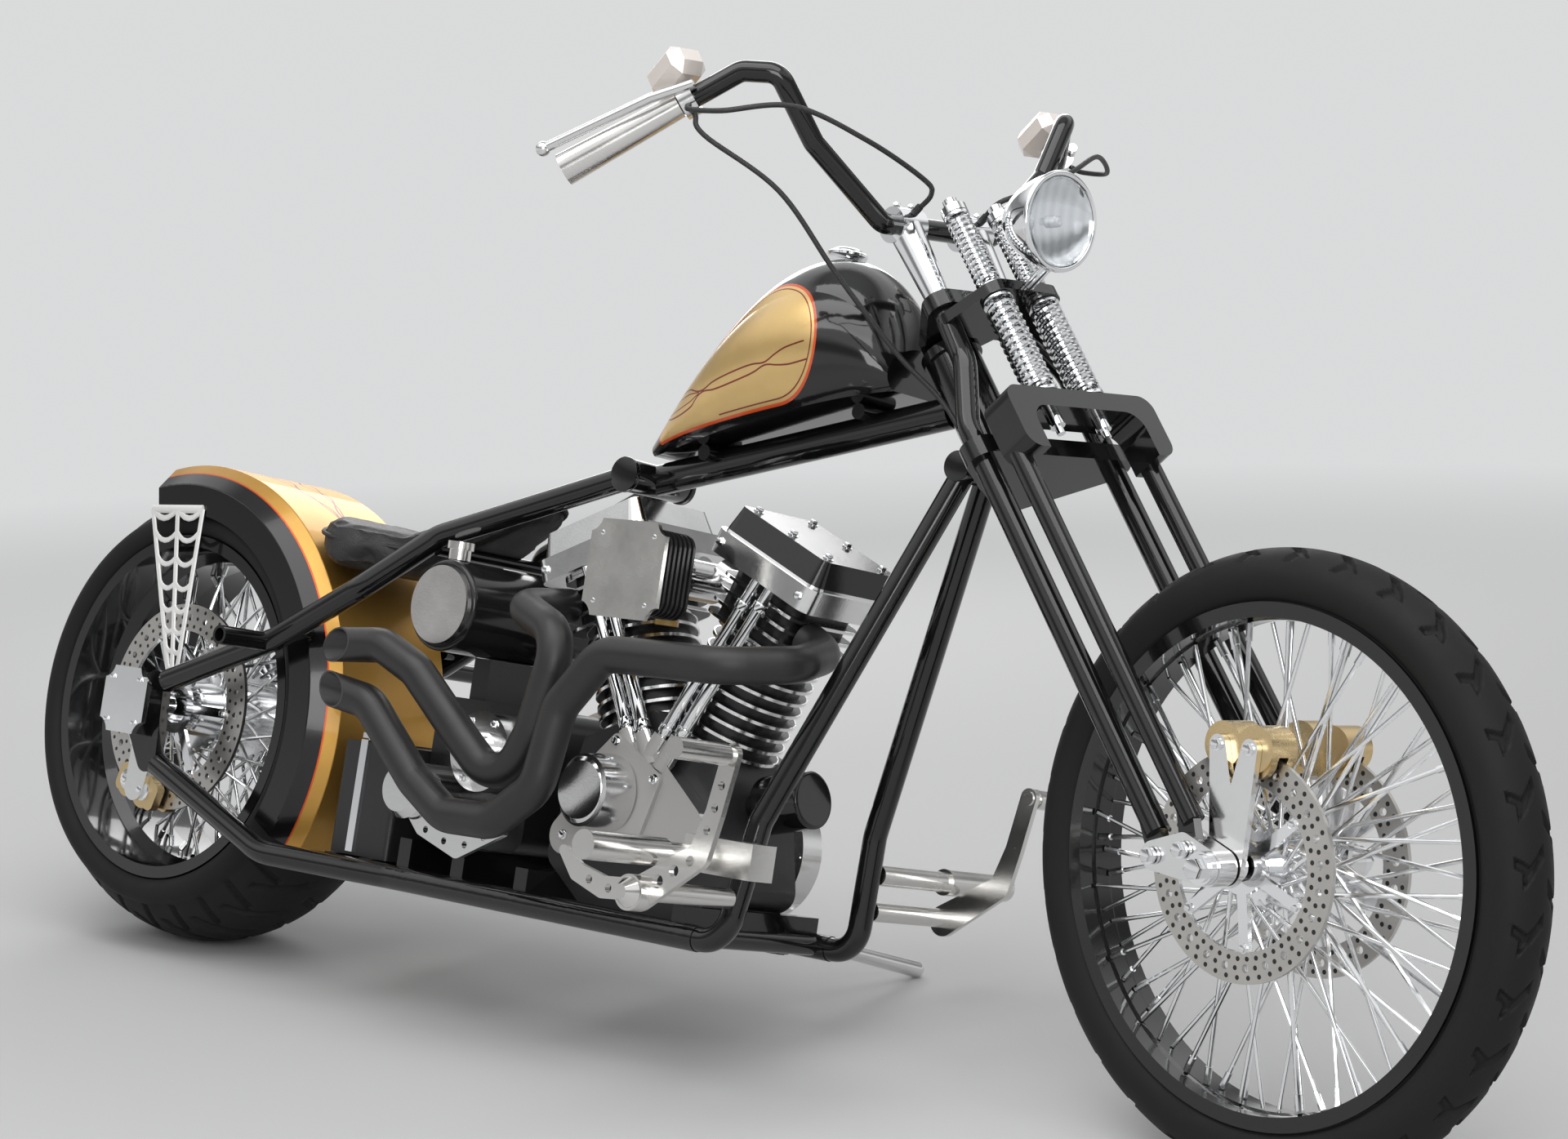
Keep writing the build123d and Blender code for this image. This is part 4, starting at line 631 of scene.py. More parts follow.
def make_disc(name, matrix, ring_inner, rows):
    """Each row of dimples is its distance from the axle, its count, and the turn of the first in steps."""
    disc = Finish(name)
    x, _, z = disc.coordinates(matrix)
    radius = (x * x + z * z).math("SQRT")
    ring = radius > ring_inner
    circles = disc.node("ShaderNodeTexNoise", {"noise_dimensions": "1D"}, {
        "W": radius, "Scale": RING_GRAIN, "Detail": 3.0}, out="Fac")
    stain = disc.noise(disc.place(), 22.0, 4.0)
    turn = z.math("ARCTAN2", x)
    # Painted shade of the dimples, gathered row by row.
    dimple_shade = radius < 0.0
    for row, count, first in rows:
        sideways = ((turn * (count / (2 * pi)) + first).math("FRACT") - 0.5) * (2 * pi * row / count)
        outward = radius - row
        dimple_shade = dimple_shade.math("MAXIMUM", (sideways * sideways + outward * outward).math("SQRT") < DIMPLE_RADIUS)
    ground = disc.mix(stain, (0.50, 0.48, 0.46), (0.66, 0.64, 0.61))
    steel = disc.mix(ring, (0.86, 0.86, 0.87), ground)
    # The dimples are painted near-black and not metallic: painted shade inside each dimple.
    disc.set("base_color", disc.mix(dimple_shade, steel, (0.012, 0.012, 0.012)))
    disc.set("metallic", 1 - dimple_shade)
    disc.set("roughness", disc.span(ring * (circles * 0.2 + 0.9), 0.0, 1.0, 0.13, 0.33))
    disc.bump(circles * ring, 0.0001, 0.5)
    return disc


# %% [markdown]
# The front discs are smaller than the rear one, with the same pattern drawn closer in. The calipers are
# anodised gold, a colour that is thin and slightly uneven, and the pushrod tubes are chromed.

# %% Discs, calipers and tubes
make_disc("rear_disc_steel", REAR_WHEEL, 0.108, [
    (0.1150, 48, 0.25), (0.1270, 24, 0.0), (0.1390, 48, 0.25)]).paint("rear_disc")
make_disc("front_disc_steel", FRONT_WHEEL, 0.090, [
    (0.0970, 48, 0.25), (0.1070, 24, 0.0), (0.1170, 48, 0.25)]).paint("front_discs")
plain_steel = make_metal("plain_steel", (0.55, 0.55, 0.56), 0.32)
plain_steel.paint("rear_sprocket")
gold_metal = make_metal("gold_anodised", (0.72, 0.55, 0.30), 0.30, grain=520.0, depth=0.00003)
gold_metal.paint("rear_caliper", "front_calipers")
chrome.paint("pushrod_tubes")
print("discs and calipers done, materials:", len(bpy.data.materials))

# %% [markdown]
# Hose and cables have a dark woven cover. Small cells, several across a cable's width, stand for the weave.

# %% Braid
braid = Finish("cable_braid", metallic=0.2)
braid_place = braid.place()
weave = braid.node("ShaderNodeTexVoronoi", {}, {"Vector": braid_place, "Scale": 900.0}, out="Distance")
braid.set("base_color", braid.mix(weave, (0.05, 0.05, 0.052), (0.015, 0.015, 0.016)))
braid.set("roughness", braid.span(weave, 0.0, 1.0, 0.35, 0.6))
braid.bump(weave, 0.0003, 0.6)
print("braid ready")

# %% [markdown]
# ## The tank's gold panel
# Each side of the black tank carries a gold teardrop with a fine red outline and a maroon flourish. Its
# outline is an uneven capsule: a large circle at the head, a small one at the tail, and the two straight
# lines that touch both. The distance to that outline is easy to work out, so one number gives the panel, its
# border and the fine line inside it. The flourish is two mirrored curves along an axis of its own.

# %% Tank paint
TAIL, HEAD = (0.806, 0.756), (1.008, 0.876)
TAIL_RADIUS, HEAD_RADIUS = 0.006, 0.0755
FLOURISH_START, FLOURISH_END, FLOURISH_SWING = (0.812, 0.783), (1.076, 0.869), 0.014
LINE_HALF, INNER_LINE_HALF, INNER_SHARE = 0.0011, 0.0008, 0.42
BORDER_HALF, INNER_BORDER_IN, INNER_BORDER_FROM, CENTRE_GAP = 0.0017, 0.0058, 0.93, 0.004
GOLD, ORANGE, MAROON = (0.80, 0.55, 0.22), (0.72, 0.09, 0.02), (0.27, 0.045, 0.025)
DEEP_BLACK = (0.006, 0.006, 0.0065)


def on_axis(x, z, start, end):
    """Distances along and across a line from one point to another, with the line's length."""
    length = hypot(end[0] - start[0], end[1] - start[1])
    run_x, run_z = (end[0] - start[0]) / length, (end[1] - start[1]) / length
    along = (x - start[0]) * run_x + (z - start[1]) * run_z
    off = (z - start[1]) * run_x - (x - start[0]) * run_z
    return along, off, length


tank_paint = Finish("tank_paint", coat_weight=0.6, coat_roughness=0.03, specular_ior_level=0.4)
tank_x, tank_y, tank_z = tank_paint.coordinates(BIKE)
along, off, reach = on_axis(tank_x, tank_z, TAIL, HEAD)
off = abs(off)
slope = (TAIL_RADIUS - HEAD_RADIUS) / reach
level = sqrt(1 - slope ** 2)
beside = along * level - off * slope
near_tail, near_head = beside < 0.0, beside > level * reach
tail_gap = (off * off + along * along).math("SQRT") - TAIL_RADIUS
beyond = along - reach
head_gap = (off * off + beyond * beyond).math("SQRT") - HEAD_RADIUS
side_gap = off * level + along * slope - TAIL_RADIUS
outline = near_tail * tail_gap + near_head * head_gap + (1 - near_tail) * (1 - near_head) * side_gap

flow, sway, flow_length = on_axis(tank_x, tank_z, FLOURISH_START, FLOURISH_END)
swing = tank_paint.shape(flow, 0.0, flow_length, [
    (0.0, 0.0), (0.015, 0.8), (0.04, 1.0), (0.07, 0.9), (0.085, 0.15), (0.10, 0.0), (0.115, 0.35),
    (0.14, 0.42), (0.175, 0.42), (0.195, 0.35), (0.210, 0.0), (0.225, 0.4), (0.245, 0.8),
    (flow_length, 0.8)]) * FLOURISH_SWING
within = (flow > 0.001) * (flow < flow_length - 0.004)
line = (abs(abs(sway) - swing) < LINE_HALF) * within
inner_line = (abs(abs(sway) - swing * INNER_SHARE) < INNER_LINE_HALF) * (flow < 0.09) * (flow > 0.012)
flourish = line.math("MAXIMUM", inner_line)
print("flourish", round(flow_length, 3), "m long")

# %% [markdown]
# With the distances known, the colours are laid over each other as a painter would: gold leaf, the flourish
# and the fine line on it, the black round the panel, and last the border. The gold is partly metallic with a
# fine flake, and the border stands up a little, as paint does at an edge.

# %% Tank colours
leaf = tank_paint.noise(tank_paint.place(), 16.0, 6.0, 0.6)
flake = tank_paint.noise(tank_paint.place(), 1400.0, 2.0)
gold_tone = tank_paint.mix(leaf, *tones(GOLD, 0.86, 1.12))
panel_colour = tank_paint.mix(flourish, gold_tone, MAROON)
inner_border = (abs(outline + INNER_BORDER_IN) < INNER_LINE_HALF) * (tank_x > INNER_BORDER_FROM)
panel_colour = tank_paint.mix(inner_border, panel_colour, MAROON)
panel = (outline < 0.0) * (abs(tank_y) > CENTRE_GAP)
tank_colour = tank_paint.mix(panel, DEEP_BLACK, panel_colour)
border = abs(outline) < BORDER_HALF
tank_paint.set("base_color", tank_paint.mix(border, tank_colour, ORANGE))
tank_paint.set("metallic", panel * (1 - border) * 0.8)
tank_paint.set("roughness", tank_paint.span(panel, 0.0, 1.0, 0.12, 0.34) * (flake * 0.5 + 0.75))
tank_paint.bump(flake * 0.3 + border * 0.4, 0.00012, 0.3)
tank_paint.paint("fuel_tank")
print("tank panel", round(reach + HEAD_RADIUS + TAIL_RADIUS, 3), "m long")

# %% [markdown]
# ## The rear fender
# The fender's crown is a deeper gold between two black edges, with a red pinstripe along each edge and
# scrolls that curl out near the top and run together toward the seat. The pattern follows the angle round the
# wheel, so it wraps with the sheet.

# %% Fender paint
CROWN_EDGE, CROWN_FOOT, SCROLL_SWING = 0.108, 0.318, 0.060
SCROLL_FROM, SCROLL_TO = 0.70, 1.80
SCROLL_HALF, SECOND_HALF, PINSTRIPE_HALF = 0.0021, 0.0016, 0.0016
fender_paint = Finish("fender_paint", coat_weight=0.3, coat_roughness=0.05, specular_ior_level=0.4)
fender_x, fender_y, fender_z = fender_paint.coordinates(REAR_WHEEL)
turn = fender_z.math("ARCTAN2", fender_x)
sideways = abs(fender_y)
crown = (sideways < CROWN_EDGE) * ((fender_x * fender_x + fender_z * fender_z).math("SQRT") > CROWN_FOOT)
scroll = fender_paint.shape(turn, SCROLL_FROM, SCROLL_TO, [
    (0.70, 0.62), (0.84, 0.40), (0.96, 0.16), (1.06, 0.0), (1.14, 0.22), (1.22, 0.52), (1.30, 0.30),
    (1.36, 0.06), (1.44, 0.5), (1.54, 0.86), (1.62, 0.52), (1.68, 0.0), (1.80, 0.0)]) * SCROLL_SWING
second = fender_paint.shape(turn, SCROLL_FROM, SCROLL_TO, [
    (0.70, 0.36), (0.86, 0.20), (1.02, 0.04), (1.12, 0.30), (1.24, 0.26), (1.33, 0.52), (1.42, 0.66),
    (1.50, 0.36), (1.58, 0.10), (1.66, 0.34), (1.74, 0.0), (1.80, 0.0)]) * SCROLL_SWING
drawn = (turn > 0.72) * (turn < 1.70)
first_line = abs(sideways - scroll) < SCROLL_HALF
second_line = abs(sideways - second) < SECOND_HALF
scrolls = first_line.math("MAXIMUM", second_line) * drawn
pinstripe = abs(sideways - CROWN_EDGE) < PINSTRIPE_HALF
print("fender scrolls from", SCROLL_FROM, "to", SCROLL_TO, "radians")

# %% Fender colours
fender_leaf = fender_paint.noise(fender_paint.place(), 14.0, 6.0, 0.6)
fender_flake = fender_paint.noise(fender_paint.place(), 1400.0, 2.0)
fender_gold = fender_paint.mix(fender_leaf, (0.50, 0.26, 0.05), (0.66, 0.38, 0.09))
fender_gold = fender_paint.mix(scrolls, fender_gold, MAROON)
fender_colour = fender_paint.mix(crown, DEEP_BLACK, fender_gold)
fender_paint.set("base_color", fender_paint.mix(pinstripe * crown, fender_colour, ORANGE))
fender_paint.set("metallic", crown * (1 - scrolls) * 0.8)
fender_paint.set("roughness", fender_paint.span(crown, 0.0, 1.0, 0.13, 0.42) * (fender_flake * 0.5 + 0.75))
fender_paint.bump(fender_flake, 0.0001, 0.3)
fender_paint.paint("rear_fender")
print("fender painted, materials:", len(bpy.data.materials))

# %% [markdown]
# ## Tyres with a real tread
# A tread is cut into the rubber, so it has to change the shape. Each tyre's profile is spun about the axle in
# fine steps, and then every point that lies in a groove moves a few millimetres toward the tyre's core. The
# grooves are angled cuts that alternate from side to side, with a shorter cut near each shoulder.

# %% Rubber finish
rubber = Finish("rubber", specular_ior_level=0.22)
rubber_place = rubber.place()
dust = rubber.noise(rubber_place, 12.0, 6.0, 0.65)
rubber.set("base_color", rubber.mix(dust, (0.008, 0.008, 0.008), (0.020, 0.0195, 0.019)))
rubber.set("roughness", rubber.span(dust, 0.3, 0.7, 0.52, 0.78))
rubber.bump(rubber.noise(rubber_place, 800.0, 3.0, 0.6), 0.0003, 0.4)
print("rubber ready, materials:", len(bpy.data.materials))

# %% [markdown]
# A tyre's profile is made of three arcs, one for each side wall and one for the crown. Each arc is given by
# the three points it passes through, which are easier to measure on a tyre than a centre and a radius.

# %% Arcs of the profile
def arc_through(first, middle, last, count):
    """Points of the arc through three points, from the first up to the one before the last."""
    (ax, ay), (bx, by), (cx, cy) = first, middle, last
    twice = 2 * (ax * (by - cy) + bx * (cy - ay) + cx * (ay - by))
    squares = [ax * ax + ay * ay, bx * bx + by * by, cx * cx + cy * cy]
    centre_x = (squares[0] * (by - cy) + squares[1] * (cy - ay) + squares[2] * (ay - by)) / twice
    centre_y = (squares[0] * (cx - bx) + squares[1] * (ax - cx) + squares[2] * (bx - ax)) / twice
    radius = hypot(ax - centre_x, ay - centre_y)
    start, via, end = [atan2(py - centre_y, px - centre_x) for px, py in (first, middle, last)]
    turn_all = (end - start) % (2 * pi)
    if (via - start) % (2 * pi) > turn_all:
        turn_all -= 2 * pi
    angles = [start + turn_all * step / count for step in range(count)]
    return [(centre_x + radius * cos(a), centre_y + radius * sin(a)) for a in angles]


# %% [markdown]
# The cuts repeat round the tyre, so a place on the crown is given in steps of the pattern and in shares of
# half the crown's width. Each step has a main cut that leans one way, and a shoulder cut that leans the other
# way. The two halves of the tread are half a step apart.

# %% Grooves
GROOVE_DEPTH, GROOVE_WALL, GROOVE_END = 0.0055, 0.045, 0.05
MAIN_CUT, SHOULDER_CUT = (0.24, 0.06, 0.80), (0.19, 0.50, 1.0)
SHOULDER_SHIFT, SHOULDER_LEAN = 0.52, 0.55


def groove_depth(angle, y, steps_round, lean, half):
    """Depth in a groove from 0 to 1, with short slopes at its walls."""
    across_crown = abs(y) / half

    def cut(phase, shape_of_cut):
        width, low, high = shape_of_cut
        phase %= 1.0
        inside = min(phase, width - phase) / GROOVE_WALL
        ends = min(across_crown - low, high - across_crown) / GROOVE_END
        return max(0.0, min(1.0, inside, ends))

    turns = angle * steps_round / (2 * pi) + (0.5 if y < 0 else 0.0)
    return max(cut(turns + lean * across_crown, MAIN_CUT),
               cut(turns + SHOULDER_SHIFT - lean * SHOULDER_LEAN * across_crown, SHOULDER_CUT))


# %% Both tyres
WALL_ARCS, BEAD_LIP = 7, 0.008


def make_tyre(name, body, matrix, radius, half, crown, crown_half, bead_radius, bead_half, steps,
              arcs, tread):
    """Tread is how many steps of the pattern go round, and how far the main cut leans."""
    shoulder = radius - crown + sqrt(crown ** 2 - crown_half ** 2)
    lip = bead_radius + BEAD_LIP
    bulge = (lip + shoulder) / 2
    profile = (arc_through((bead_half, lip), (half, bulge), (crown_half, shoulder), WALL_ARCS)
               + arc_through((crown_half, shoulder), (0, radius), (-crown_half, shoulder), arcs)
               + arc_through((-crown_half, shoulder), (-half, bulge), (-bead_half, lip), WALL_ARCS)
               + [(-bead_half, lip), (-bead_half, bead_radius), (bead_half, bead_radius)])
    shape = bmesh.new()
    spin_profile(shape, [(r, y) for y, r in profile], (0, 1, 0), (0, 0, 1), steps, closed=True)
    for vert in shape.verts:
        y, distance = vert.co.y, hypot(vert.co.x, vert.co.z)
        if distance < shoulder or abs(y) > crown_half:
            continue
        depth = GROOVE_DEPTH * groove_depth(atan2(vert.co.z, vert.co.x), y, *tread, crown_half)
        core = Vector((vert.co.x / distance, 0, vert.co.z / distance)) * (radius - crown)
        vert.co -= (vert.co - core).normalized() * depth
    add_piece(name, shape, body, rubber, matrix, replaces=(name.replace("_tread", ""),))


make_tyre("front_tyre_tread", "front_wheel", FRONT_WHEEL, radius=0.340, half=0.039, crown=0.041,
          crown_half=0.032, bead_radius=0.274, bead_half=0.029, steps=936, arcs=44, tread=(31, 0.62))
make_tyre("rear_tyre_tread", "rear_wheel", REAR_WHEEL, radius=0.325, half=0.116, crown=0.130,
          crown_half=0.098, bead_radius=0.236, bead_half=0.098, steps=888, arcs=64, tread=(30, 0.9))

# %% [markdown]
# ## Fork springs
# The solid model holds each spring as a plain sleeve round its rod. A real one is a wire wound in a helix,
# which the spin operator makes when it also climbs a little at every step. The lower pair is stout, the upper
# pair is lighter, and each coil sits between two turned cups.

# %% Coils
SPRING_AHEAD, SPRING_SIDE = 0.126, 0.038
COIL_TURNS, STEPS_PER_TURN, END_GAP, CUP = 12.5, 22, 0.004, 0.005
LOWER_SPRING, UPPER_SPRING = (0.6103, 0.7517, 0.0158, 0.0036), (0.7663, 0.8777, 0.0128, 0.0029)


def add_coil(shape, foot, height, coil_radius, wire_radius):
    start = foot + Vector((coil_radius, 0, wire_radius))
    made = bmesh.ops.create_circle(shape, cap_ends=True, segments=8, radius=wire_radius,
                                   matrix=Matrix.Translation(start) @ turned_to((0, 1, 0)))
    faces = {face for vert in made["verts"] for face in vert.link_faces}
    edges = {edge for face in faces for edge in face.edges}
    steps = int(COIL_TURNS * STEPS_PER_TURN)
    bmesh.ops.spin(shape, geom=made["verts"] + list(edges) + list(faces), cent=foot, axis=(0, 0, 1),
                   dvec=(0, 0, (height - 2 * wire_radius) / steps), angle=2 * pi * COIL_TURNS, steps=steps)


shape = bmesh.new()
for spring_side in (-SPRING_SIDE, SPRING_SIDE):
    for low, high, coil_radius, wire_radius in (LOWER_SPRING, UPPER_SPRING):
        foot = Vector((SPRING_AHEAD, spring_side, low + END_GAP))
        add_coil(shape, foot, high - low - 2 * END_GAP, coil_radius, wire_radius)
        for cup_foot in (low, high - CUP):
            add_drum(shape, (SPRING_AHEAD, spring_side, cup_foot),
                     (SPRING_AHEAD, spring_side, cup_foot + CUP), coil_radius + wire_radius, bevel=0.0008)
add_piece("fork_coils", shape, "fork", chrome, FORK, replaces=("fork_springs",))

# %% [markdown]
# ## Cables
# The brake hose runs from the right-hand clamp down behind the bar to the lower tree, and the throttle and
# clutch cables arc ahead of the bar to the risers. Each is a bar along a smooth curve that passes through a
# few points.

# %% Hose and cables
CABLE_RADIUS, FERRULE_RADIUS, FERRULE_SHARE = 0.0032, 0.0048, 0.35
HOSE = [(0.0511, -0.3066, 1.0563), (0.0513, -0.3065, 1.0243), (0.0600, -0.2360, 0.9430),
        (0.0360, -0.1750, 0.8460), (0.0100, -0.1040, 0.7560), (0.0060, -0.0640, 0.7000),
        (0.0100, -0.0580, 0.6500), (0.0100, -0.0580, 0.5843)]
CABLE = [(0.0588, -0.3184, 1.0615), (0.0647, -0.3270, 1.0494), (0.1020, -0.3200, 1.0160),
         (0.1460, -0.2520, 0.9960), (0.1560, -0.1700, 0.9500), (0.1400, -0.0840, 0.9180),
         (0.1200, -0.0550, 0.9140), (0.0843, -0.0550, 0.9140)]


def smooth_line(points, steps=10):
    """A curve that passes through every point without a corner."""
    points = [Vector(point) for point in points]
    extended = [points[0] * 2 - points[1], *points, points[-1] * 2 - points[-2]]
    line = []
    for before_it, start, end, after_it in zip(extended, extended[1:], extended[2:], extended[3:]):
        for step in range(steps):
            t = step / steps
            line.append((start * 2 + (end - before_it) * t
                         + (before_it * 2 - start * 5 + end * 4 - after_it) * t ** 2
                         + (start * 3 - before_it - end * 3 + after_it) * t ** 3) / 2)
    return line + [points[-1]]


shape = bmesh.new()
for route in (HOSE, CABLE, [(x, -y, z) for x, y, z in CABLE]):
    add_bar(shape, smooth_line(route), CABLE_RADIUS, 10)
    end, before_end = Vector(route[-1]), Vector(route[-2])
    add_drum(shape, end, end.lerp(before_end, FERRULE_SHARE), FERRULE_RADIUS, bevel=0.0006)
add_piece("cable_runs", shape, "fork", braid, FORK, replaces=("cables",))

# %% [markdown]
# ## More spokes
# The solid hubs carry one set of crossed spokes. A second set of the same kind, turned half a step, brings
# the wheels up to the full number. Each spoke runs from a hole in the hub's flange to the rim.

# %% Second set of spokes
CROSSING, HALF_STEP, STEP, SPOKES_PER_SET = radians(48), radians(18), 36, 10
SPOKE_RADIUS, NIPPLE_RADIUS, NIPPLE_SHARE, RIM_SIDE = 0.0026, 0.0040, 0.08, 0.008
for body, matrix, flange_y, flange_radius, rim_radius in (
        ("rear_wheel", REAR_WHEEL, 0.052, 0.057, 0.2128), ("front_wheel", FRONT_WHEEL, 0.034, 0.037, 0.2608)):
    shape = bmesh.new()
    for flange_side in (-1, 1):
        for lead, out in ((1, 0.003), (-1, -0.003)):
            for spoke in range(SPOKES_PER_SET):
                foot_angle = radians(STEP * spoke + flange_side * STEP / 8 + lead * STEP / 4) + HALF_STEP
                rim_angle = foot_angle + lead * CROSSING
                foot = Vector((flange_radius * cos(foot_angle), flange_side * (flange_y + out),
                               flange_radius * sin(foot_angle)))
                tip = Vector((rim_radius * cos(rim_angle), flange_side * RIM_SIDE + out,
                              rim_radius * sin(rim_angle)))
                add_drum(shape, foot, tip, SPOKE_RADIUS, segments=8)
                add_drum(shape, tip, tip.lerp(foot, NIPPLE_SHARE), NIPPLE_RADIUS, segments=8)
    add_piece(body + "_spokes", shape, body, spoke_chrome, matrix)

# %% [markdown]
# ## Headlamp
# Behind the glass sits a shallow bright bowl and a small bulb. The glass is a thin dome with a bezel round
# it. All are turned shapes, so each is one profile spun about the lamp's own axis.

# %% Reflector
reflector_finish = Finish("reflector", metallic=1.0)
lamp_y = reflector_finish.coordinates(LAMP)[1]
flutes = (lamp_y * 420.0).math("SINE")
# The flutes are also painted into the colour as lighter and darker stripes: a painted highlight and painted
# shade on each flute.
reflector_finish.set("base_color",
                     reflector_finish.mix(flutes * 0.5 + 0.5, (0.80, 0.81, 0.83), (0.90, 0.91, 0.92)))
reflector_finish.set("roughness", reflector_finish.span(flutes, -1.0, 1.0, 0.06, 0.12))
reflector_finish.bump(flutes, 0.0004, 0.15)
BOWL = [(0.0522, -0.0030), (0.0500, -0.0062), (0.0400, -0.0104), (0.0280, -0.0134), (0.0150, -0.0150),
        (0.0070, -0.0154), (0.0070, -0.0157), (0.0522, -0.0157)]
add_turned("headlamp_reflector", BOWL, "fork", reflector_finish, LAMP, 64, closed=True,
           replaces=("headlamp_lens",))

# %% Bulb and glass
bulb_finish = make_enamel("bulb_glass", (0.85, 0.86, 0.88), 0.06, 0.1, coat_weight=1.0)
BULB = [(0.0, -0.0035), (0.0040, -0.0042), (0.0066, -0.0072), (0.0070, -0.0110), (0.0070, -0.0154)]
add_turned("headlamp_bulb", BULB, "fork", bulb_finish, LAMP, 24)

glass = Finish("lamp_glass", transmission_weight=1.0, ior=1.35, specular_ior_level=0.7)
glass_place = glass.place(LAMP)
glass_cloud = glass.noise(glass_place, 60.0, 3.0)
glass.set("base_color", glass.mix(glass_cloud, (0.93, 0.95, 0.96), (0.98, 0.99, 1.0)))
glass.set("roughness", glass.span(glass_cloud, 0.3, 0.7, 0.0, 0.03))
GLASS_THICK = 0.0018
outer = [(0.0, 0.0062), (0.0120, 0.0059), (0.0250, 0.0048), (0.0380, 0.0028), (0.0470, 0.0006),
         (0.0524, -0.0016)]
inner = [(r, z - GLASS_THICK) for r, z in reversed(outer)]
add_turned("headlamp_glass", outer + inner, "fork", glass, LAMP, 64)

# %% Bezel
BEZEL_RADIUS, BEZEL_ALONG, BEZEL_WIRE, BEZEL_SIDES = 0.0557, -0.0040, 0.0036, 12
ring = [(BEZEL_RADIUS + BEZEL_WIRE * cos(a), BEZEL_ALONG + BEZEL_WIRE * sin(a))
        for a in [2 * pi * side / BEZEL_SIDES for side in range(BEZEL_SIDES)]]
add_turned("headlamp_bezel", ring, "fork", chrome, LAMP, 72, closed=True)

# %% [markdown]
# ## Web strut
# The strut on the fender's right side is a tapered plate cut out like a spider's web: two edges and a middle
# rib, joined by strands that sag between them. Flattened bars make it, and a short boss bolts it to the
# frame.

# %% Web strut
WEB_Y, WEB_STEPS, WEB_SAG, WEB_FLAT = -0.1273, 6, 0.26, 0.5
STRAND_DROPS = (0.0, 0.14, 0.29, 0.44, 0.58, 0.71, 0.83, 0.94)
WEB_TOP = [(-0.078, 0.598), (-0.023, 0.601), (0.032, 0.604)]
WEB_FOOT = [(0.014, 0.366), (0.022, 0.362), (0.030, 0.360)]
white_paint = make_enamel("white_paint", (0.80, 0.80, 0.78), 0.18, 0.2, coat_weight=0.6)
side_axis = Vector((0, 1, 0))
shape = bmesh.new()


def web_point(rib, drop):
    top, foot = WEB_TOP[rib], WEB_FOOT[rib]
    return Vector((top[0] + (foot[0] - top[0]) * drop, WEB_Y, top[1] + (foot[1] - top[1]) * drop))


for rib in range(3):
    add_bar(shape, [web_point(rib, step / WEB_STEPS) for step in range(WEB_STEPS + 1)], 0.0042, 8, WEB_FLAT,
            side_axis)
for drop in STRAND_DROPS:
    for rib in range(2):
        first, last = web_point(rib, drop), web_point(rib + 1, drop)
        sag = (last - first).length * WEB_SAG
        strand = [first.lerp(last, share) - Vector((0, 0, sag * 4 * share * (1 - share) - 0.001))
                  for share in [step / WEB_STEPS for step in range(WEB_STEPS + 1)]]
        add_bar(shape, strand, 0.0044 if drop == 0 else 0.0038, 8, WEB_FLAT, side_axis)
add_bar(shape, [Vector((x, WEB_Y, z)) for x, z in (WEB_TOP[0], WEB_TOP[2])], 0.0060, 8, 0.4, side_axis)
add_drum(shape, (0.026, -0.1253, 0.356), (0.026, -0.1505, 0.356), 0.009, bevel=0.001)
add_piece("web_strut", shape, "frame", white_paint, BIKE, replaces=("fender_strut",))

# %% [markdown]
# ## Drive chain and sprocket teeth
# A roller chain is one link repeated, so a link is placed at equal steps along the loop round both sprockets.
# The step is the pitch, and the rear sprocket's teeth use the same pitch, so the teeth stand between the
# rollers.

# %% The chain's path
CHAIN_Y, PITCH_TEETH = 0.133, 44
REAR_CENTRE, DRIVE_CENTRE = Vector((0.0, REAR_AXLE_HEIGHT)), Vector((0.600, 0.300))
REAR_PITCH_RADIUS, DRIVE_PITCH_RADIUS = 0.1105, 0.0475
between = DRIVE_CENTRE - REAR_CENTRE
heading = atan2(between.y, between.x)
spread = acos((REAR_PITCH_RADIUS - DRIVE_PITCH_RADIUS) / between.length)
straight = sqrt(between.length ** 2 - (REAR_PITCH_RADIUS - DRIVE_PITCH_RADIUS) ** 2)
front_arc, rear_arc = 2 * spread * DRIVE_PITCH_RADIUS, 2 * (pi - spread) * REAR_PITCH_RADIUS
loop_length = 2 * straight + front_arc + rear_arc
link_count = 2 * round(loop_length / (2 * pi * REAR_PITCH_RADIUS / PITCH_TEETH) / 2)


def round_rear(angle):
    return REAR_CENTRE + REAR_PITCH_RADIUS * Vector((cos(angle), sin(angle)))


def round_drive(angle):
    return DRIVE_CENTRE + DRIVE_PITCH_RADIUS * Vector((cos(angle), sin(angle)))


def chain_point(distance):
    """Place on the chain's loop at a distance along it: top run, drive sprocket, lower run, rear sprocket."""
    distance %= loop_length
    top, low = heading + spread, heading - spread
    if distance < straight:
        return round_rear(top).lerp(round_drive(top), distance / straight)
    distance -= straight
    if distance < front_arc:
        return round_drive(top - distance / DRIVE_PITCH_RADIUS)
    distance -= front_arc
    if distance < straight:
        return round_drive(low).lerp(round_rear(low), distance / straight)
    return round_rear(low - (distance - straight) / REAR_PITCH_RADIUS)


print("chain loop", round(loop_length, 3), "m,", link_count, "links")

# %% [markdown]
# A link is a roller with a flattened drum as a plate on each side. Inner and outer links take turns, so the
# plates of every second link stand a little further apart.

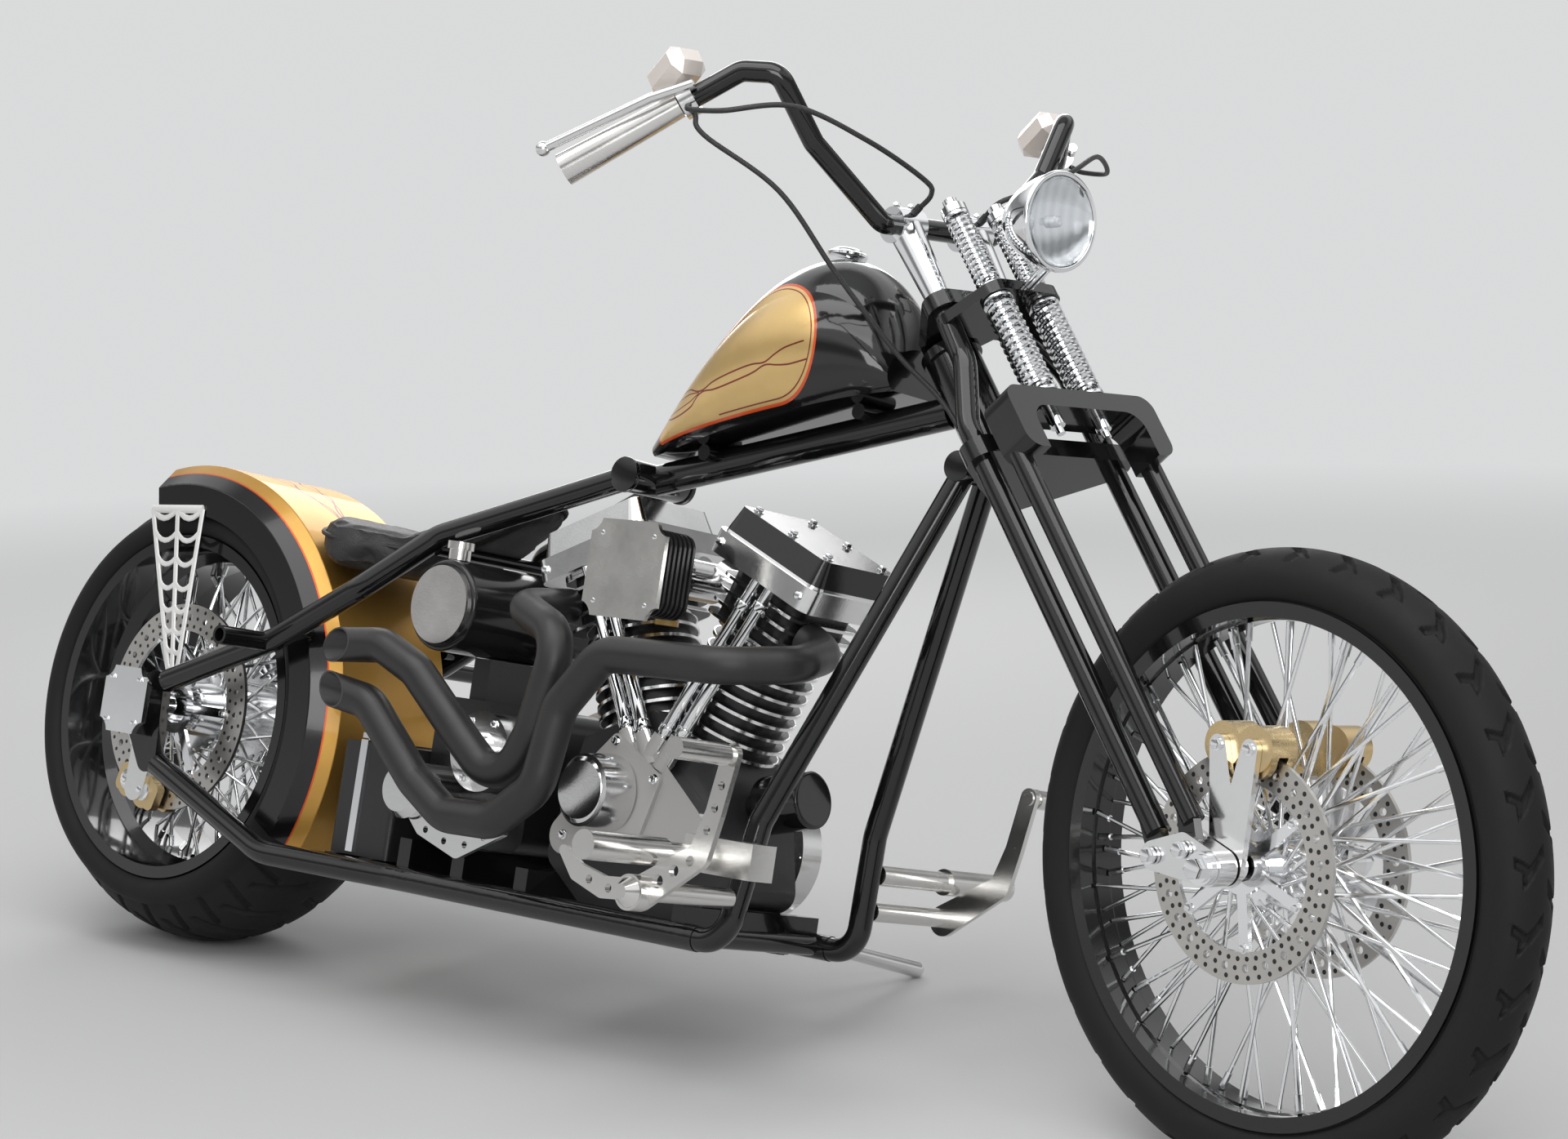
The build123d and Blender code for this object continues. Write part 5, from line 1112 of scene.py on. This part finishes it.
# %% Links
ROLLER_RADIUS, ROLLER_HALF, PLATE_END, PLATE_HALF, PLATE_THICK = 0.0048, 0.0047, 0.0052, 0.0060, 0.0011
OUTER_GAP, INNER_GAP = 0.0042, 0.0028
shape = bmesh.new()
for link in range(link_count):
    here = chain_point(link * loop_length / link_count)
    there = chain_point((link + 1) * loop_length / link_count)
    add_drum(shape, (here.x, CHAIN_Y - ROLLER_HALF, here.y), (here.x, CHAIN_Y + ROLLER_HALF, here.y),
             ROLLER_RADIUS, segments=8)
    middle, run = (here + there) / 2, there - here
    along_run = Matrix.Rotation(-atan2(run.y, run.x), 4, "Y") @ Matrix.Rotation(pi / 2, 4, "X")
    plate_size = Matrix.Diagonal((run.length / 2 + PLATE_END, PLATE_HALF, 1.0, 1.0))
    plate_gap = OUTER_GAP if link % 2 else INNER_GAP
    for plate_side in (-plate_gap, plate_gap):
        matrix = Matrix.Translation((middle.x, CHAIN_Y + plate_side, middle.y)) @ along_run @ plate_size
        bmesh.ops.create_cone(shape, cap_ends=True, segments=10, radius1=1, radius2=1, depth=PLATE_THICK,
                              matrix=matrix)
add_piece("chain_links", shape, "frame", plain_steel, BIKE, replaces=("drive_chain",))

# %% Sprocket teeth
TOOTH_FOOT, TOOTH_TIP, TOOTH_FOOT_RADIUS, TOOTH_TIP_RADIUS = 0.0960, 0.1075, 0.0034, 0.0016
shape = bmesh.new()
for tooth in range(PITCH_TEETH):
    angle = 2 * pi * tooth / PITCH_TEETH
    outward, chain_side = Vector((cos(angle), 0, sin(angle))), Vector((0, CHAIN_Y, 0))
    add_drum(shape, outward * TOOTH_FOOT + chain_side, outward * TOOTH_TIP + chain_side, TOOTH_FOOT_RADIUS,
             TOOTH_TIP_RADIUS, segments=8)
add_piece("sprocket_teeth", shape, "rear_wheel", plain_steel, REAR_WHEEL)

# %% [markdown]
# ## Frame joints
# The two stays of the rear frame and the backbone meet behind the tank. A short forged lug lies across them
# and takes all three ends, with a turned collar at each side. A smaller lug caps the tops of the two
# downtubes, under the neck.

# %% Backbone and neck lugs
def add_lug(name, lug_x, lug_z, half, radius, collar):
    shape = bmesh.new()
    add_drum(shape, (lug_x, -half, lug_z), (lug_x, half, lug_z), radius, segments=40, bevel=0.002)
    for lug_side in (-1, 1):
        add_drum(shape, (lug_x, lug_side * (half - 0.006), lug_z), (lug_x, lug_side * (half + 0.002), lug_z),
                 radius + collar, segments=40, bevel=0.0015)
    add_piece(name, shape, "frame", gloss_black, BIKE)


add_lug("backbone_lug", 0.762, 0.706, 0.056, 0.0215, 0.0015)
add_lug("neck_lug", 1.277, 0.747, 0.039, 0.0175, 0.0012)

# %% [markdown]
# ## Fuel cap
# A turned cap with a flange, a neck and a shallow dome, spun from one profile about the filler's upright
# axis.

# %% Turned fuel cap
CAP_PLACE = Matrix.Translation((1.030, 0, 0.9983))
CAP = [(0.0, 0.0162), (0.0080, 0.0158), (0.0150, 0.0142), (0.0190, 0.0118), (0.0200, 0.0098),
       (0.0240, 0.0094), (0.0258, 0.0080), (0.0260, 0.0050), (0.0246, 0.0034), (0.0236, 0.0), (0.0, 0.0)]
add_turned("cap_dome", CAP, "frame", chrome, BIKE @ CAP_PLACE, 56, replaces=("fuel_cap",))

# %% [markdown]
# ## Nuts, bolts and collars
# Small fasteners tell the eye how large a machine is. A bolt is a hexagonal drum with a low washer under it.
# The lists give where each sits, which way it points and how wide it is, in the frame of its own body.

# %% A bolt, and places on the engine
def add_bolt(shape, place, direction, radius):
    """A hexagonal head with a washer under it, all sizes in proportion to the head's radius."""
    place, direction = Vector(place), Vector(direction).normalized()
    add_drum(shape, place - direction * 0.001, place + direction * radius * 0.25, radius * 1.25, segments=20)
    add_drum(shape, place, place + direction * radius * 1.15, radius, segments=6, bevel=radius * 0.12)


def cylinder_point(angle, distance, across=0.0, side=0.0):
    """A point on a cylinder's axis, moved across it and sideways."""
    return Vector((ENGINE_X + sin(angle) * distance + cos(angle) * across, side,
                   ENGINE_Z + cos(angle) * distance - sin(angle) * across))


def add_bolt_ring(shape, centre, reach, angles, side_at, direction, radius):
    """Bolts at angles round a centre (x, z), on a face that looks sideways."""
    for angle in map(radians, angles):
        add_bolt(shape, (centre[0] + reach * cos(angle), side_at, centre[1] + reach * sin(angle)), direction,
                 radius)


RIGHT, LEFT = Vector((0, -1, 0)), Vector((0, 1, 0))

# %% [markdown]
# On the frame's body, bolts hold the rocker covers, the cam cover, the primary cover, the kick starter's
# cover, the axle caps, the air cleaner and the rear caliper.

# %% Bolts on the frame and the engine
COVER_TOP, COVER_FOOT, COVER_SIDE, COVER_HALF = 0.4280, 0.3780, 0.0840, 0.074
CAM_BOLTS = ((0.936, -0.1053, 0.330), (0.910, -0.1053, 0.244), (0.864, -0.1053, 0.370),
             (0.792, -0.0993, 0.244))
PRIMARY_Y, PRIMARY_BOLT = 0.1458, 0.0052
AXLE_CAP_Y, AXLE_CAP_HALF = 0.1872, 0.030
CLEANER_Y, CLEANER_XS, CLEANER_ZS = -0.1772, (0.860, 0.946), (0.535, 0.619)
CALIPER_LOBES, LOBE_FACE, LOBE_TOP = ((-0.058, 0.213), (-0.022, 0.201)), -0.1108, -0.1140
shape = bmesh.new()
for angle in (-CYLINDER_ANGLE, CYLINDER_ANGLE):
    cylinder_up = Vector((sin(angle), 0, cos(angle)))
    for across_at in (-0.0651, 0.0, 0.0651):
        for side_at in (-0.0527, 0.0527):
            add_bolt(shape, cylinder_point(angle, COVER_TOP, across_at, side_at), cylinder_up, 0.0052)
    for side_run in (RIGHT, LEFT):
        for across_at in (-COVER_HALF, COVER_HALF):
            add_bolt(shape, cylinder_point(angle, COVER_FOOT, across_at) + side_run * COVER_SIDE, side_run,
                     0.0045)
for place in CAM_BOLTS:
    add_bolt(shape, place, RIGHT, 0.0050)
add_bolt_ring(shape, (0.890, 0.256), 0.078, (-80, -40, 0, 40, 80), PRIMARY_Y, LEFT, PRIMARY_BOLT)
add_bolt_ring(shape, (0.620, 0.300), 0.098, (100, 140, 180, 220, 260), PRIMARY_Y, LEFT, PRIMARY_BOLT)
add_bolt_ring(shape, (0.628, 0.330), 0.043, range(0, 360, 60), -0.1058, RIGHT, 0.0042)
for corner_x in (-AXLE_CAP_HALF, AXLE_CAP_HALF):
    for corner_z in (-AXLE_CAP_HALF, AXLE_CAP_HALF):
        for side_run in (RIGHT, LEFT):
            corner = Vector((corner_x, 0, REAR_AXLE_HEIGHT + corner_z))
            add_bolt(shape, corner + side_run * AXLE_CAP_Y, side_run, 0.0036)
for bolt_z in CLEANER_ZS:
    for bolt_x in CLEANER_XS:
        add_bolt(shape, (bolt_x, CLEANER_Y, bolt_z), RIGHT, 0.0034)
for lobe_x, lobe_z in CALIPER_LOBES:
    add_drum(shape, (lobe_x, LOBE_FACE, lobe_z), (lobe_x, LOBE_TOP, lobe_z), 0.0150, bevel=0.0008)
    add_bolt(shape, (lobe_x, LOBE_TOP, lobe_z), RIGHT, 0.0055)
add_piece("frame_bolts", shape, "frame", chrome, BIKE)

# %% [markdown]
# On the fork, bolts sit on the rockers' pins, the axle's ends, the front caliper brackets and the riser
# clamps, the same on both sides.

# %% Bolts on the fork
ROCKER_PINS, ROCKER_FACE = ((0.052, 0.050), (0.094, 0.032)), 0.1250
AXLE_FACE, BRACKET_LOBES, BRACKET_FACE = 0.1299, ((0.172, 0.114), (0.206, 0.086)), 0.0905
CLAMP_PLACE, CLAMP_AHEAD, CLAMP_SIDE = Vector((0.062, 0, 0.9310)), 0.013, (0.043, 0.067)
shape = bmesh.new()
for fork_side in (RIGHT, LEFT):
    for pin_u, pin_s in ROCKER_PINS:
        add_bolt(shape, Vector((pin_u, 0, pin_s)) + fork_side * ROCKER_FACE, fork_side, 0.0075)
    add_bolt(shape, Vector((FORK_OFFSET, 0, 0)) + fork_side * AXLE_FACE, fork_side, 0.0120)
    for lobe_u, lobe_s in BRACKET_LOBES:
        add_bolt(shape, Vector((lobe_u, 0, lobe_s)) + fork_side * BRACKET_FACE, fork_side, 0.0055)
    for ahead_by in (-CLAMP_AHEAD, CLAMP_AHEAD):
        for side_by in CLAMP_SIDE:
            add_bolt(shape, CLAMP_PLACE + Vector((ahead_by, 0, 0)) + fork_side * side_by, (0, 0, 1), 0.0040)
add_piece("fork_bolts", shape, "fork", chrome, FORK)

# %% Bolts on the brake discs
for wheel, body, matrix, bolt_ring, face_at, faces in (
        ("rear", "rear_wheel", REAR_WHEEL, 0.104, 0.0940, (RIGHT,)),
        ("front", "front_wheel", FRONT_WHEEL, 0.086, 0.0650, (RIGHT, LEFT))):
    shape = bmesh.new()
    for face_run in faces:
        add_bolt_ring(shape, (0, 0), bolt_ring, range(0, 360, 60), face_run.y * face_at, face_run, 0.0045)
    add_piece(wheel + "_disc_bolts", shape, body, chrome, matrix)

# %% [markdown]
# Each pushrod tube slides into another, with a collar where they meet and a gland at the top. Four short
# rings on each tube, all in one piece, are enough to show it.

# %% Pushrod collars
ROD_FEET, ROD_SPACING = ((-CYLINDER_ANGLE, -0.024), (CYLINDER_ANGLE, 0.036)), 0.028
ROD_FOOT_Y, ROD_FOOT_UP = -0.090, 0.132
ROD_HEAD_Y, ROD_TOP, ROD_HEAD_BACK, ROD_HEAD_DOWN = -0.076, 0.358, 0.006, 0.010
COLLARS = ((0.02, 0.07, 0.0105), (0.07, 0.42, 0.0092), (0.42, 0.47, 0.0108), (0.88, 0.93, 0.0100))
shape = bmesh.new()
for angle, foot_x in ROD_FEET:
    for shift in (0.0, ROD_SPACING):
        foot = Vector((ENGINE_X + foot_x + shift, ROD_FOOT_Y, ENGINE_Z + ROD_FOOT_UP))
        top = cylinder_point(angle, ROD_TOP)
        head = Vector((top.x + shift - ROD_HEAD_BACK, ROD_HEAD_Y, top.z - ROD_HEAD_DOWN))
        for low, high, radius in COLLARS:
            add_drum(shape, foot.lerp(head, low), foot.lerp(head, high), radius, bevel=0.0008)
add_piece("pushrod_collars", shape, "frame", chrome, BIKE)

# %% [markdown]
# ## The seat
# A thin solo saddle of black leather: foam that swells under its cover. A copy of the solid seat is remeshed
# into an even skin, made a little smaller, and blown up gently by the Cloth simulation, with a limit on how
# far any point may move. A welt round the edge hides the seam where top and skirt meet.

# %% Leather
leather = Finish("leather", specular_ior_level=0.5)
leather_place = leather.place()
scales = leather.node("ShaderNodeTexVoronoi", {"feature": "DISTANCE_TO_EDGE"}, {
    "Vector": leather_place, "Scale": 380.0}, out="Distance")
grain = leather.span(scales, 0.0, 0.12)
worn = leather.noise(leather_place, 16.0, 6.0, 0.6)
leather.set("base_color", leather.mix(worn, (0.010, 0.010, 0.010), (0.026, 0.024, 0.023)))
leather.set("roughness", leather.span(worn, 0.3, 0.7, 0.34, 0.52))
creases = leather.noise(leather_place, 42.0, 4.0, 0.7)
leather.bump(grain * 0.7 + creases * 0.6, 0.0008, 0.55)
print("leather ready, materials:", len(bpy.data.materials))

# %% [markdown]
# Cloth needs an even mesh, and the faces of a solid are long thin triangles. The Remesh modifier covers the
# copy with a regular grid, which is then set in by the room that the foam will fill.

# %% Seat skin
SEAT_INSET, SEAT_GRID = 0.004, 0.005
seat_mesh = frame["nodes"]["seat"].data.copy()
seat_pad = bpy.data.objects.new("seat_pad", seat_mesh)
bpy.context.collection.objects.link(seat_pad)
shape = bmesh.new()
shape.from_mesh(seat_mesh)
bmesh.ops.remove_doubles(shape, verts=shape.verts, dist=0.00005)
shape.to_mesh(seat_mesh)
shape.free()


def bake_modifiers(piece):
    """Replace a piece's mesh by what its modifiers make of it."""
    graph = bpy.context.evaluated_depsgraph_get()
    graph.update()
    made = bpy.data.meshes.new_from_object(piece.evaluated_get(graph))
    piece.modifiers.clear()
    piece.data = made


remesh = seat_pad.modifiers.new("skin", "REMESH")
remesh.mode = "VOXEL"
remesh.voxel_size = SEAT_GRID
bake_modifiers(seat_pad)
for vert, inward in [(vert, -vert.normal * SEAT_INSET) for vert in seat_pad.data.vertices]:
    vert.co += inward
print("seat skin", len(seat_pad.data.vertices), "points")

# %% [markdown]
# Pressure inside the skin rounds it like foam under leather. It weighs nothing here, so it doesn't sag, and
# no point may go further than the limit, so the seat keeps its outline and its place on the frame.

# %% Seat swell
SEAT_MOVE, SEAT_PRESSURE, SWELL_FRAMES = 0.007, 4, 20
before = [vert.co.copy() for vert in seat_pad.data.vertices]
cloth = seat_pad.modifiers.new("swell", "CLOTH")
cloth.settings.effector_weights.gravity = 0
cloth.settings.use_pressure = True
cloth.settings.uniform_pressure_force = SEAT_PRESSURE
cloth.settings.quality = 5
for step in range(1, SWELL_FRAMES + 1):
    bpy.context.scene.frame_set(step)
bake_modifiers(seat_pad)
bpy.context.scene.frame_set(1)
for vert, was in zip(seat_pad.data.vertices, before):
    moved = vert.co - was
    if moved.length > SEAT_MOVE:
        vert.co = was + moved.normalized() * SEAT_MOVE
smooth = seat_pad.modifiers.new("smooth", "SUBSURF")
smooth.levels = smooth.render_levels = 1
seat_pad.data.shade_smooth()
seat_pad.data.materials.clear()
seat_pad.data.materials.append(leather.material)
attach(seat_pad, "frame")
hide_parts("seat")
print("seat pad", len(seat_pad.data.vertices), "points")

# %% [markdown]
# The welt is a thin cord sewn in where top and skirt meet. It follows the seat's outline, a wide lobe at the
# back and a narrow nose, and its height follows the edge of the pan as seen from the side.

# %% Seat welt
LOBE_X, LOBE_LONG, LOBE_WIDE, NOSE_X, NOSE_RADIUS = 0.300, 0.077, 0.117, 0.560, 0.039
WELT_RADIUS, WELT_STEP = 0.0034, 0.012
lobe = [(LOBE_X + LOBE_LONG * cos(a), LOBE_WIDE * sin(a)) for a in map(radians, range(100, 261, 10))]
nose = [(NOSE_X + NOSE_RADIUS * cos(a), NOSE_RADIUS * sin(a)) for a in map(radians, range(-70, 71, 14))]
SEAT_EDGE = [(0.215, 0.601), (0.236, 0.600), (0.262, 0.592), (0.300, 0.584), (0.410, 0.580), (0.480, 0.614),
             (0.500, 0.620), (0.606, 0.664)]


def edge_height(x):
    for (x0, z0), (x1, z1) in zip(SEAT_EDGE, SEAT_EDGE[1:]):
        if x <= x1:
            return z0 + (z1 - z0) * (x - x0) / (x1 - x0)
    return SEAT_EDGE[-1][1]


seat_outline = lobe + nose + [lobe[0]]
welt = []
for (x0, y0), (x1, y1) in zip(seat_outline, seat_outline[1:]):
    pieces = max(1, round(hypot(x1 - x0, y1 - y0) / WELT_STEP))
    places = [(x0 + (x1 - x0) * i / pieces, y0 + (y1 - y0) * i / pieces) for i in range(pieces)]
    welt += [Vector((x, y, edge_height(x))) for x, y in places]
shape = bmesh.new()
add_bar(shape, welt + [welt[0]], WELT_RADIUS, 8)
add_piece("seat_welt", shape, "frame", leather, BIKE)

# %% Measure the bounds of everything shown
low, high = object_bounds()
